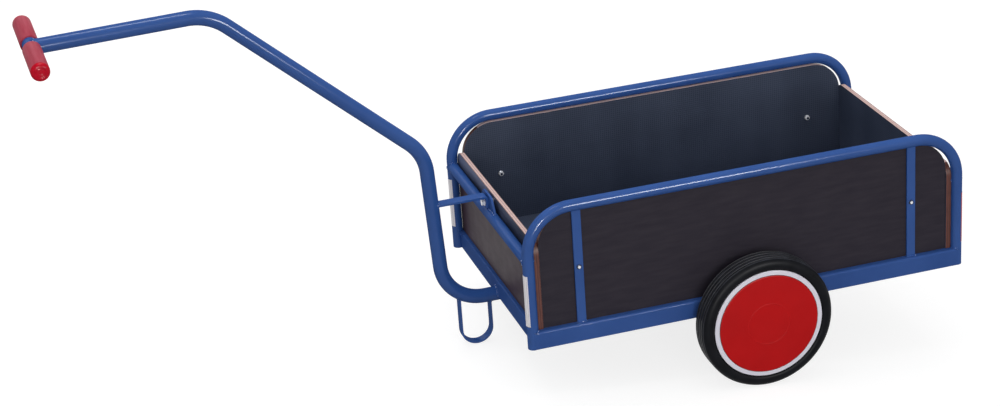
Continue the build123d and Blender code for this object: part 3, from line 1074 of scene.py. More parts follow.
    def cut(self, place: Point, normal: Point) -> "Piece":
        """Cuts an edge line through the whole mesh.

        Args:
            place: A point of the cutting plane.
            normal: The plane's normal.

        Returns:
            The piece.
        """
        bpy.ops.mesh.select_all(action="SELECT")
        bpy.ops.mesh.bisect(plane_co=place, plane_no=normal)
        return self

    def plain(self, under: float = 1) -> "Piece":
        """Removes the edge lines that lie within flat faces.

        Args:
            under: Edges flatter than this many degrees go.

        Returns:
            The piece.
        """
        bpy.ops.mesh.select_all(action="SELECT")
        bpy.ops.mesh.dissolve_limited(angle_limit=math.radians(under))
        return self

    def merged(self) -> "Piece":
        """Merges doubles all over.

        Returns:
            The piece.
        """
        bpy.ops.mesh.select_all(action="SELECT")
        bpy.ops.mesh.remove_doubles(threshold=EPS)
        return self

    def closed(self, ends: bool = False) -> "Piece":
        """Merges doubles and turns the faces outwards.

        Args:
            ends: Whether open ends are filled first.

        Returns:
            The piece.
        """
        self.merged()
        if ends:
            bpy.ops.mesh.fill_holes(sides=0)
        bpy.ops.mesh.normals_make_consistent(inside=False)
        return self

    def coat(self, finish: Finish, test: Callable[[Vector, Vector], bool]) -> "Piece":
        """Gives some faces a finish of their own.

        Args:
            finish: Their finish.
            test: The test of a face's middle and normal.

        Returns:
            The piece.
        """
        self.coats.append(finish)
        mesh = bmesh.from_edit_mesh(self.obj.data)
        for face in mesh.faces:
            if test(face.calc_center_median(), face.normal):
                face.material_index = len(self.coats)
        bmesh.update_edit_mesh(self.obj.data)
        return self

    def modify(self, kind: str, **settings: "float | int | str | bool") -> None:
        """Adds a modifier and applies it, in object mode.

        Args:
            kind: The modifier's type.
            settings: Its properties.
        """
        bpy.ops.object.modifier_add(type=kind)
        modifier = self.obj.modifiers[-1]
        for key, value in settings.items():
            setattr(modifier, key, value)
        bpy.ops.object.modifier_apply(modifier=modifier.name)

    def soften(self, width: float, segments: int = 2, over: float = 35) -> "Piece":
        """Rounds every sharp edge, as handling and paint do.

        Args:
            width: Of the rounding.
            segments: Its steps.
            over: Edges sharper than this many degrees are rounded.

        Returns:
            The piece.
        """
        bpy.ops.object.mode_set(mode="OBJECT")
        self.modify("BEVEL", width=width, segments=segments, limit_method="ANGLE",
                    angle_limit=math.radians(over))
        bpy.ops.object.mode_set(mode="EDIT")
        return self.merged()

    def twin(self, name: str, mirror: Matrix) -> "Piece":
        """A mirrored copy with its own mesh.

        Args:
            name: The copy's name.
            mirror: The mirroring matrix in the level drawing.

        Returns:
            The copy, its faces turned outwards.
        """
        self.alone()
        bpy.ops.object.duplicate(linked=False)
        bpy.context.object.matrix_world = mirror
        copy = Piece(name)
        copy.coats = list(self.coats)
        bpy.ops.mesh.select_all(action="SELECT")
        bpy.ops.mesh.normals_make_consistent(inside=False)
        return copy

    def repeat(self, finish: Finish, *copies: tuple[str, Matrix, str],
               flat: bool = False) -> "Piece":
        """Mirrors, dresses and finishes copies, and puts this piece back on the bench.

        Args:
            finish: The copies' finish.
            copies: Name, mirror and CAD node of each copy.

        Returns:
            This piece.
        """
        for name, mirror, node in copies:
            self.twin(name, mirror).finish(finish, CHASSIS, node, flat=flat)
        self.alone()
        bpy.ops.object.mode_set(mode="EDIT")
        return self

    def finish(self, finish: Finish, body: str, *nodes: str, over: float = 32,
               flat: bool = False) -> None:
        """Smooths, parks and dresses the piece, and lets it ride.

        Args:
            finish: The finish on all of it.
            body: The body that carries it.
            nodes: CAD nodes that it stands for.
            over: Edges sharper than this many degrees stay sharp.
            flat: Whether wide flat faces keep their own normals.
        """
        bpy.ops.object.mode_set(mode="OBJECT")
        bpy.ops.object.shade_smooth_by_angle(angle=math.radians(over))
        if flat:
            self.modify("WEIGHTED_NORMAL", keep_sharp=True)
        self.obj.matrix_world = PARK
        bpy.ops.object.transform_apply(location=True, rotation=True, scale=True)
        for coat in (finish, *self.coats):
            self.obj.data.materials.append(coat.material())
        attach(self.obj, body)
        if nodes:
            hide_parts(*nodes)
        LOG.info("%s rides on %s, %d faces", self.obj.name, body, len(self.obj.data.polygons))


def dress_node(finish: Finish, *nodes: str) -> None:
    """Gives a finish to CAD nodes that keep their shape.

    Args:
        finish: Their finish.
        nodes: Their names.
    """
    for name in nodes:
        node = frame["nodes"][name]
        node.data.materials.clear()
        node.data.materials.append(finish.material())
        LOG.info("%s keeps its CAD shape", name)


@dataclass
class TubeFrame:
    """The two bent side hoops and the tubes across the ends."""

    spacing: float = POST_SPACING
    half_gap: float = POST_GAP
    radius: float = POST_RADIUS
    sides: int = 40
    wall: float = 0.002
    bore_depth: float = 0.02
    top: float = 0.3125
    bend: float = 0.0975
    cross_height: float = CROSS_HEIGHT

    def hoop(self) -> Piece:
        """The left hoop, its feet open to the wall thickness.

        Returns:
            The hoop.
        """
        y = -self.half_gap
        corners = [(0, y, 0), (0, y, self.top), (self.spacing, y, self.top), (self.spacing, y, 0)]
        bends = (self.bend, self.bend)
        hoop = Piece.tube("hoop_tube_left", corners, bends, self.radius, self.sides)
        bore = (self.radius - self.wall) / self.radius
        for x in (0, self.spacing):
            hoop.edges(lambda p: near(p.z, 0) and abs(p.x - x) < 2 * self.radius)
            hoop.extrude((0, 0, 0)).scale((bore, bore, 1), (x, y, 0))
            hoop.extrude((0, 0, self.bore_depth))
        return hoop.closed(ends=True)

    def cross_tube(self) -> Piece:
        """The front cross tube, running into both posts.

        Returns:
            The tube.
        """
        ends = [(0, side.value * self.half_gap, self.cross_height) for side in Side]
        tube = Piece.tube("cross_tube_front_body", ends, (), self.radius, self.sides)
        return tube.closed(ends=True)

    def build(self) -> None:
        """Hoops and cross tubes, the second of each a twin."""
        hoop = self.hoop().repeat(PAINT, ("hoop_tube_right", MIRROR_Y, "side_hoop_right"))
        hoop.finish(PAINT, CHASSIS, "side_hoop_left")
        tube = self.cross_tube().repeat(PAINT, ("cross_tube_rear_body", TO_REAR, "cross_tube_rear"))
        tube.finish(PAINT, CHASSIS, "cross_tube_front")
        dress_node(PLUG, "post_end_plugs")


@dataclass
class FloorRails:
    """The steel angle round the floor, its flat leg on top and inwards."""

    length: float = POST_SPACING
    face: float = POST_GAP + POST_RADIUS
    height: float = RAIL_HEIGHT
    leg: float = 0.040
    thick: float = 0.004
    heel_radius: float = 0.005
    end_heel_radius: float = 0.0039
    heel_steps: int = 4
    root_radius: float = 0.002
    root_steps: int = 3
    setback: float = RAIL_SETBACK
    end_reach: float = 0.279
    edge: float = 0.0007

    def fold(self, rail: Piece, axis: int, face: float, flat_half: float) -> Piece:
        """Draws the flat leg out of an upright leg and rounds heel and root.

        Args:
            rail: The upright leg.
            axis: Level axis that the flat leg points along, upwards.
            face: Place of the upright leg's outer face on that axis.
            flat_half: Half length of the flat leg for a rail across the cart, or 0.

        Returns:
            The rail.
        """
        under, inner = self.height - self.thick, face + self.thick
        rail.cut((0, 0, under), (0, 0, 1))
        for y in ((-flat_half, flat_half) if flat_half else ()):
            rail.cut((0, y, 0), (0, 1, 0))
        step = Vector((0, 0, 0))
        step[axis] = self.leg - self.thick
        rail.faces(lambda mid, way: way[axis] > FACING and mid.z > under
                   and (not flat_half or abs(mid.y) < flat_half)).extrude(step).plain()
        heel = self.end_heel_radius if flat_half else self.heel_radius
        rail.edges(lambda p: near(p[axis], face) and near(p.z, self.height))
        rail.bevel(heel, self.heel_steps)
        rail.edges(lambda p: near(p[axis], inner) and near(p.z, under)
                   and (not flat_half or abs(p.y) < flat_half + EPS))
        return rail.bevel(self.root_radius, self.root_steps).soften(self.edge)

    def build(self) -> None:
        """Two side rails and two end rails; the bearers keep their CAD shape."""
        rail = Piece.block("side_rail_left", (0, -self.face, 0),
                           (self.length, -self.face + self.thick, self.height))
        rail = self.fold(rail, 1, -self.face, 0)
        rail.repeat(RAIL_PAINT, ("side_rail_right", MIRROR_Y, "lower_rail_right"), flat=True)
        rail.finish(RAIL_PAINT, CHASSIS, "lower_rail_left", flat=True)
        rail = Piece.block("end_rail_front", (self.setback, -self.end_reach, 0),
                           (self.setback + self.thick, self.end_reach, self.height))
        rail = self.fold(rail, 0, self.setback, self.face - self.leg)
        rail.repeat(RAIL_PAINT, ("end_rail_rear", TO_REAR, "lower_rail_rear"), flat=True)
        rail.finish(RAIL_PAINT, CHASSIS, "lower_rail_front", flat=True)
        dress_node(RAIL_PAINT, "floor_bearer_front", "floor_bearer_rear")


@dataclass
class PlyBox:
    """The film-faced boards, the stays outside them and what bolts them together."""

    length: float = POST_SPACING
    ply: float = 0.012
    side_face: float = 0.2825
    side_top: float = 0.3002
    side_corner: float = 0.072
    side_corner_steps: int = 16
    side_edge: float = 0.0003
    side_lit_from: float = 0.9
    end_face: float = 0.013
    end_half: float = 0.2855
    end_top: float = 0.2407
    end_corner: float = 0.028
    end_corner_steps: int = 10
    end_lit_from: float = 0.95
    floor_z: float = RAIL_HEIGHT
    gap: float = 0.0005
    edge: float = 0.0008
    stay_x: float = STAY_X
    stay_width: float = STAY_WIDTH
    stay_thick: float = 0.005
    stay_top: float = 0.30625
    stay_edge: float = 0.0009

    @staticmethod
    def dress(board: Piece, place: str, plane: Sheet, axis: int, lit_from: float) -> Piece:
        """Gives an upright board its inner film and its edges.

        Args:
            board: The board, its inner face towards the upper end of the axis.
            place: The word for it in the finishes' names.
            plane: The plane that it lies in.
            axis: The level axis across its thickness.
            lit_from: How far up an edge has to face to be painted pale as lit, not dark as shaded.

        Returns:
            The board.
        """
        board.coat(MeshFilm(f"mesh_film_{place}", plane=plane), lambda mid, way: way[axis] > FACING)
        # Edges that face up get painted light, the others painted shade.
        board.coat(LightPaintedEdge(f"ply_edge_{place}", thickness_axis=axis),
                   lambda mid, way: abs(way[axis]) < FACING and way.z > lit_from)
        return board.coat(ShadePaintedEdge(f"sealed_edge_{place}", thickness_axis=axis),
                          lambda mid, way: abs(way[axis]) < FACING and way.z <= lit_from)

    def side_board(self) -> Piece:
        """The left side board with its wide upper corners.

        Returns:
            The board.
        """
        start, end = self.end_face + self.ply, self.length - self.end_face - self.ply
        board = Piece.block("side_board_left", (start, -self.side_face, self.floor_z),
                            (end, -self.side_face + self.ply, self.side_top))
        board.edges(lambda p: near(p.z, self.side_top) and (near(p.x, start) or near(p.x, end)),
                    along=1)
        board.bevel(self.side_corner, self.side_corner_steps).soften(self.side_edge)
        return self.dress(board, "side", Sheet.SIDE, 1, self.side_lit_from)

    def end_board(self) -> Piece:
        """The front board, which covers the side boards' ends.

        Returns:
            The board.
        """
        board = Piece.block("end_board_front", (self.end_face, -self.end_half, self.floor_z),
                            (self.end_face + self.ply, self.end_half, self.end_top))
        board.edges(lambda p: near(p.z, self.end_top) and near(abs(p.y), self.end_half), along=0)
        board.bevel(self.end_corner, self.end_corner_steps).soften(self.edge)
        return self.dress(board, "end", Sheet.ACROSS, 0, self.end_lit_from)

    def floor_board(self) -> Piece:
        """The load floor between the four boards.

        Returns:
            The board.
        """
        start = self.end_face + self.ply + self.gap
        half = self.side_face - self.ply - self.gap
        board = Piece.block("floor_board", (start, -half, self.floor_z),
                            (self.length - start, half, self.floor_z + self.ply))
        board.soften(self.edge)
        board.coat(MeshFilm("mesh_film_floor", plane=Sheet.FLOOR),
                   lambda mid, way: way.z > FACING)
        # The floor board's edges get the painted shade.
        return board.coat(ShadePaintedEdge("sealed_edge_floor", thickness_axis=2),
                          lambda mid, way: abs(way.z) < FACING)

    def stay(self) -> Piece:
        """The left front stay, up into the hoop.

        Returns:
            The stay.
        """
        half = self.stay_width / 2
        stay = Piece.block("stay_bar_front_left",
                           (self.stay_x - half, -self.side_face - self.stay_thick, self.floor_z),
                           (self.stay_x + half, -self.side_face, self.stay_top))
        return stay.soften(self.stay_edge, segments=3)

    def build(self) -> None:
        """Boards, stays and fasteners."""
        board = self.side_board()
        board.repeat(FILM, ("side_board_right", MIRROR_Y, "side_panel_right"), flat=True)
        board.finish(FILM, CHASSIS, "side_panel_left", flat=True)
        board = self.end_board()
        board.repeat(FILM, ("end_board_rear", TO_REAR, "rear_end_panel"), flat=True)
        board.finish(FRONT_FILM, CHASSIS, "front_end_panel", flat=True)
        self.floor_board().finish(FILM, CHASSIS, "floor_panel", flat=True)
        stay = self.stay()
        stay.repeat(PAINT, ("stay_bar_rear_left", TO_REAR, "stay_rear_left"),
                    ("stay_bar_front_right", MIRROR_Y, "stay_front_right"),
                    ("stay_bar_rear_right", TO_REAR_RIGHT, "stay_rear_right"), flat=True)
        stay.finish(PAINT, CHASSIS, "stay_front_left", flat=True)
        dress_node(BOLT, "panel_bolts")
        dress_node(NUT, "panel_nuts")
        dress_node(WASHER, "panel_washers")
        dress_node(ZINC, "floor_screws")


@dataclass
class Drawbar:
    """The bent drawbar, its T handle and the grips."""

    radius: float = BAR_RADIUS
    sides: int = 48
    wall: float = 0.0025
    bore_depth: float = 0.03
    root: Point = (0.180, 0, BAR_ROOT)
    heel: Point = (-0.1144, 0, BAR_ROOT)
    knee: Point = (-0.133, 0, 0.3657)
    neck: Point = (-0.5604, 0, 0.7541)
    handle: Point = HANDLE
    bends: tuple[float, ...] = (HEEL_BEND, 0.105, 0.115)
    handle_half: float = 0.153
    grip_radius: float = 0.0195
    grip_sides: int = 56
    grip_start: float = 0.018
    grip_end: float = 0.163
    grip_round: float = 0.008
    grip_round_steps: int = 8
    grip_lip: float = 0.0015
    grip_lip_steps: int = 3
    grip_edge: float = 0.0003
    rings: tuple[tuple[float, float], ...] = ((0.0012, 0.0009), (0.0012, -0.0006),
                                              (0.0058, 0.0004), (0.0012, -0.0012))
    nub_taper: float = 0.6

    def bar(self) -> Piece:
        """The drawbar, open to the wall thickness under the floor.

        Returns:
            The bar.
        """
        corners = [self.root, self.heel, self.knee, self.neck, self.handle]
        bar = Piece.tube("drawbar_body", corners, self.bends, self.radius, self.sides)
        bore = (self.radius - self.wall) / self.radius
        bar.edges(lambda p: near(p.x, self.root[0]))
        bar.extrude((0, 0, 0)).scale((1, bore, bore), self.root).extrude((-self.bore_depth, 0, 0))
        return bar.closed(ends=True)

    def handle_tube(self) -> Piece:
        """The bar of the T, with its ends inside the grips.

        Returns:
            The tube.
        """
        x, _, z = self.handle
        ends = [(x, side.value * self.handle_half, z) for side in Side]
        return Piece.tube("handle_tube", ends, (), self.radius, self.sides).closed(ends=True)

    def grip(self) -> Piece:
        """The left grip: rounded end with moulded rings and a centre nub.

        Returns:
            The grip.
        """
        x, _, z = self.handle
        start, end = -self.grip_start, -self.grip_end
        grip = Piece.rod("grip_sleeve_left", (x, end, z), (x, start, z), self.grip_radius,
                         self.grip_sides)
        grip.edges(lambda p: near(p.y, end)).bevel(self.grip_round, self.grip_round_steps)
        grip.edges(lambda p: near(p.y, start)).bevel(self.grip_lip, self.grip_lip_steps)
        grip.faces(lambda mid, way: way.y < -FACING and near(mid.y, end))
        for width, step in self.rings:
            grip.inset(width).extrude((0, step, 0))
        grip.scale((self.nub_taper, 1, self.nub_taper), (x, end, z))
        grip.soften(self.grip_edge, over=40)
        return grip.coat(GRIP_END, lambda mid, way: mid.y < end + self.grip_round)

    def build(self) -> None:
        """Bar, handle tube and both grips."""
        self.bar().finish(PAINT, CHASSIS, "drawbar_tube")
        self.handle_tube().finish(PAINT, CHASSIS, "handle_cross_tube")
        grip = self.grip().repeat(GRIP, ("grip_sleeve_right", MIRROR_Y, "grip_right"))
        grip.finish(GRIP, CHASSIS, "grip_left")


@dataclass
class StrutJoint:
    """The flat strut from the drawbar to the lug on the cross tube, and its bolt."""

    width: float = STRUT_WIDTH
    thick: float = 0.006
    start: float = -0.126
    tab_face: float = -0.001
    top: float = 0.245
    tab_bottom: float = 0.2155
    tab_corner: float = 0.002
    tab_corner_steps: int = 3
    bend: float = 0.009
    bend_steps: int = 8
    inner_bend_steps: int = 5
    edge: float = 0.0009
    lug_thick: float = 0.005
    lug_foot: float = CROSS_HEIGHT
    lug_shoulder: float = 0.2145
    lug_top: float = 0.2475
    lug_foot_half: float = 0.052
    lug_top_half: float = 0.029
    lug_corner: float = 0.008
    lug_corner_steps: int = 8
    lug_edge: float = 0.0008

    def strut(self) -> Piece:
        """The bar with its end turned down.

        Returns:
            The strut.
        """
        half, inside, under = self.width / 2, self.tab_face - self.thick, self.top - self.thick
        bar = Piece.block("strut_bar", (self.start, -half, under), (self.tab_face, half, self.top))
        bar.cut((inside, 0, 0), (1, 0, 0))
        bar.faces(lambda mid, way: way.z < -FACING and mid.x > inside)
        bar.extrude((0, 0, self.tab_bottom - under)).plain()
        bar.edges(lambda p: near(p.x, self.tab_face) and near(p.z, self.top))
        bar.bevel(self.bend, self.bend_steps)
        bar.edges(lambda p: near(p.x, inside) and near(p.z, under))
        bar.bevel(self.bend - self.thick, self.inner_bend_steps)
        bar.edges(lambda p: near(abs(p.y), half) and near(p.z, self.tab_bottom), along=0)
        return bar.bevel(self.tab_corner, self.tab_corner_steps).soften(self.edge, segments=3)

    def lug(self) -> Piece:
        """The tapered plate with rounded shoulders.

        Returns:
            The lug.
        """
        lug = Piece.block("lug_plate", (self.tab_face, -self.lug_foot_half, self.lug_foot),
                          (self.tab_face + self.lug_thick, self.lug_foot_half, self.lug_top))
        lug.cut((0, 0, self.lug_shoulder), (0, 0, 1)).faces(lambda mid, way: way.z > FACING)
        taper = self.lug_top_half / self.lug_foot_half
        lug.scale((1, taper, 1), (self.tab_face, 0, self.lug_top))
        lug.edges(lambda p: near(p.z, self.lug_top) and near(abs(p.y), self.lug_top_half), along=0)
        return lug.bevel(self.lug_corner, self.lug_corner_steps).soften(self.lug_edge, segments=3)

    def build(self) -> None:
        """Strut, lug and the zinc bolt with its washers and nut."""
        self.strut().finish(PAINT, CHASSIS, "drawbar_strut", flat=True)
        self.lug().finish(PAINT, CHASSIS, "strut_lug", flat=True)
        dress_node(ZINC, "strut_bolt", "strut_washers", "strut_nut")


@dataclass
class ParkingStand:
    """The U of flat bar under the drawbar."""

    width: float = STAND_WIDTH
    thick: float = STAND_THICK
    middle: float = -0.048
    half_span: float = 0.035
    bottom: float = -0.107
    front_top: float = 0.020
    rear_top: float = 0.000
    arc_steps: int = 24
    edge: float = 0.0009

    def build(self) -> None:
        """One leg drawn down, spun round the bottom and drawn up again."""
        arc = self.bottom + self.half_span + self.thick / 2
        Piece.clear()
        start = (self.middle - self.half_span, 0, self.front_top)
        bpy.ops.mesh.primitive_plane_add(size=1, location=start)
        bpy.context.object.scale = (self.thick, self.width, 1)
        stand = Piece("stand_loop")
        bpy.ops.mesh.select_all(action="SELECT")
        stand.extrude((0, 0, arc - self.front_top))
        bpy.ops.mesh.spin(steps=self.arc_steps, angle=math.pi, axis=(0, 1, 0),
                          center=(self.middle, 0, arc))
        stand.extrude((0, 0, self.rear_top - arc))
        stand.closed().soften(self.edge, segments=3)
        stand.finish(PAINT, CHASSIS, "parking_stand", flat=True)


@dataclass
class Wheel:
    """One wheel: ribbed tyre, white rim, red cap, and its bearings.

    The tuples of pairs are corners of turned sections, as steps in radius and in width.
    """

    side: Side
    radius: float = 0.150
    middle: float = 0.341
    tyre_half: float = 0.030
    bead: float = 0.110
    wall_foot: tuple[tuple[float, float], ...] = ((0.003, 0.0016), (0.006, 0))
    shoulder: tuple[tuple[float, float], ...] = (
        (0.0145, 0), (0.0105, 0.0006), (0.0068, 0.0022), (0.0038, 0.0046), (0.0015, 0.0076),
        (0.0003, 0.0104))
    grooves: tuple[float, ...] = (-0.0165, -0.0055, 0.0055, 0.0165)
    groove_width: float = 0.0046
    groove_floor: float = 0.64
    groove_depth: float = 0.0045
    tread_skin: float = 0.0012
    tyre_edge: float = 0.0009
    tyre_steps: int = 144
    barrel: float = 0.106
    flange: float = 0.124
    flange_thick: float = 0.0035
    rim_half: float = 0.028
    rim_edge: float = 0.0012
    rim_steps: int = 128
    web_half: float = 0.004
    hub: float = 0.027
    hub_in: float = -0.0357
    hub_out: float = 0.0165
    seat: float = 0.021
    seat_depth: float = 0.012
    bore: float = 0.013
    fit: float = 0.0005
    cap: float = 0.113
    cap_thick: float = 0.002
    cap_ring: float = 0.0475
    ring_half: float = 0.002
    ring_rise: float = 0.0006
    cap_roll: tuple[tuple[float, float], ...] = ((0.0022, 0), (0.0008, 0.0003), (0, 0.0010))
    skirt_thick: float = 0.0025
    skirt_depth: float = 0.009
    # A thin dark ring round the cap: painted shadow gap.
    shade_ring: float = 0.0009
    shade_ring_thick: float = 0.0005

    @property
    def centre(self) -> Vector:
        """The wheel's middle on the axle."""
        return Vector((PARKING.axle_x, self.side.value * self.middle, PARKING.axle_z))

    @staticmethod
    def reach(place: Vector) -> float:
        """How far a place is from the axle."""
        return math.hypot(place.x - PARKING.axle_x, place.z - PARKING.axle_z)

    def tyre(self) -> Piece:
        """Round shoulders, and four grooves round the tread.

        Returns:
            The tyre.
        """
        lip = self.rim_half - self.flange_thick
        wall = [(self.bead, lip), (self.flange + self.fit, lip)]
        wall += [(self.flange + rise, self.tyre_half - inset) for rise, inset in self.wall_foot]
        wall += [(self.radius - drop, self.tyre_half - inset) for drop, inset in self.shoulder]
        share = self.groove_floor / 2
        tread = [(self.radius - depth * self.groove_depth, place + off * self.groove_width)
                 for place in reversed(self.grooves)
                 for off, depth in ((0.5, 0), (share, 1), (-share, 1), (-0.5, 0))]
        section = wall + tread + [(radius, -out) for radius, out in reversed(wall)]
        tyre = Piece.turned(f"tyre_{self.side.word}", self.centre, section, self.side,
                            self.tyre_steps)
        tyre.soften(self.tyre_edge, over=40)
        # The outer faces of the tread get the painted sheen.
        return tyre.coat(TREAD_SHEEN, lambda mid, way: self.reach(mid) > self.radius - self.tread_skin)

    def rim(self) -> Piece:
        """Barrel with two flanges, web and hub.

        Returns:
            The rim.
        """
        inner = self.rim_half - self.flange_thick
        seat_out, seat_in = self.hub_out - self.seat_depth, self.hub_in + self.seat_depth
        outer_wall = [(self.bead, inner), (self.flange, inner), (self.flange, self.rim_half),
                      (self.barrel, self.rim_half), (self.barrel, self.web_half),
                      (self.hub, self.web_half), (self.hub, self.hub_out),
                      (self.seat, self.hub_out), (self.seat, seat_out), (self.bore, seat_out)]
        inner_wall = [(self.bore, seat_in), (self.seat, seat_in), (self.seat, self.hub_in),
                      (self.hub, self.hub_in), (self.hub, -self.web_half),
                      (self.barrel, -self.web_half), (self.barrel, -self.rim_half),
                      (self.flange, -self.rim_half), (self.flange, -inner), (self.bead, -inner)]
        rim = Piece.turned(f"rim_{self.side.word}", self.centre, outer_wall + inner_wall, self.side,
                           self.rim_steps)
        return rim.soften(self.rim_edge, segments=3, over=50)

    def cover(self) -> Piece:
        """The flat red cap with a faint ring, a rolled edge and a thin dark ring of painted shade
        round it.

        Returns:
            The cap.
        """
        back, face, ring = self.rim_half, self.rim_half + self.cap_thick, self.cap_ring
        edge, skirt = self.cap + self.shade_ring, self.barrel - self.fit
        section = [(0.0, face), (ring - self.ring_half, face), (ring, face + self.ring_rise),
                   (ring + self.ring_half, face)]
        section += [(self.cap - inset, face - drop) for inset, drop in self.cap_roll]
        section += [(self.cap, back + self.shade_ring_thick), (edge, back + self.shade_ring_thick),
                    (edge, back), (skirt, back), (skirt, back - self.skirt_depth),
                    (skirt - self.skirt_thick, back - self.skirt_depth),
                    (skirt - self.skirt_thick, back), (0.0, back)]
        cover = Piece.turned(f"cap_{self.side.word}", self.centre, section, self.side,
                             self.rim_steps)
        # The ring round the cap is dark plug plastic: a painted shadow gap.
        return cover.coat(PLUG, lambda mid, way: self.reach(mid) > self.cap + EPS)

    def build(self) -> None:
        """All of the wheel, riding on its own body."""
        body = f"wheel_{self.side.word}"
        self.tyre().finish(RUBBER, body, f"{body}_tyre")
        self.rim().finish(RIM, body, f"{body}_rim", flat=True)
        self.cover().finish(CAP, body, f"{body}_hub_cap", flat=True)
        dress_node(STEEL, f"{body}_bearings")


@dataclass
class PostStrips:
    """The reflective strips stuck round the outside of the posts."""

    half_gap: float = POST_GAP
    tube: float = POST_RADIUS
    sides: int = 120
    thick: float = 0.0005
    half_angle: float = math.radians(57)
    bottom: float = 0.055
    top: float = 0.173

    def strip(self) -> Piece:
        """A shell cut from a tube, facing forward on the left front post.

        Returns:
            The strip.
        """
        y = -self.half_gap
        strip = Piece.rod("strip_front_left", (0, y, self.bottom), (0, y, self.top),
                          self.tube + self.thick, self.sides)
        strip.faces(lambda mid, way: abs(way.z) > FACING)
        bpy.ops.mesh.delete(type="FACE")
        for sign in (-1, 1):
            bpy.ops.mesh.select_all(action="SELECT")
            outwards = Vector((math.sin(self.half_angle), sign * math.cos(self.half_angle), 0))
            bpy.ops.mesh.bisect(plane_co=(0, y, 0), plane_no=outwards, clear_outer=True)
        strip.closed()
        bpy.ops.object.mode_set(mode="OBJECT")
        strip.modify("SOLIDIFY", thickness=self.thick, offset=-1)
        bpy.ops.object.mode_set(mode="EDIT")
        return strip

    def build(self) -> None:
        """White in front, red behind."""
        strip = self.strip()
        strip.repeat(WHITE_STRIP, ("strip_front_right", MIRROR_Y, "reflector_front_right"))
        strip.repeat(RED_STRIP, ("strip_rear_left", TO_REAR, "reflector_rear_left"),
                     ("strip_rear_right", TO_REAR_RIGHT, "reflector_rear_right"))
        strip.finish(WHITE_STRIP, CHASSIS, "reflector_front_left")


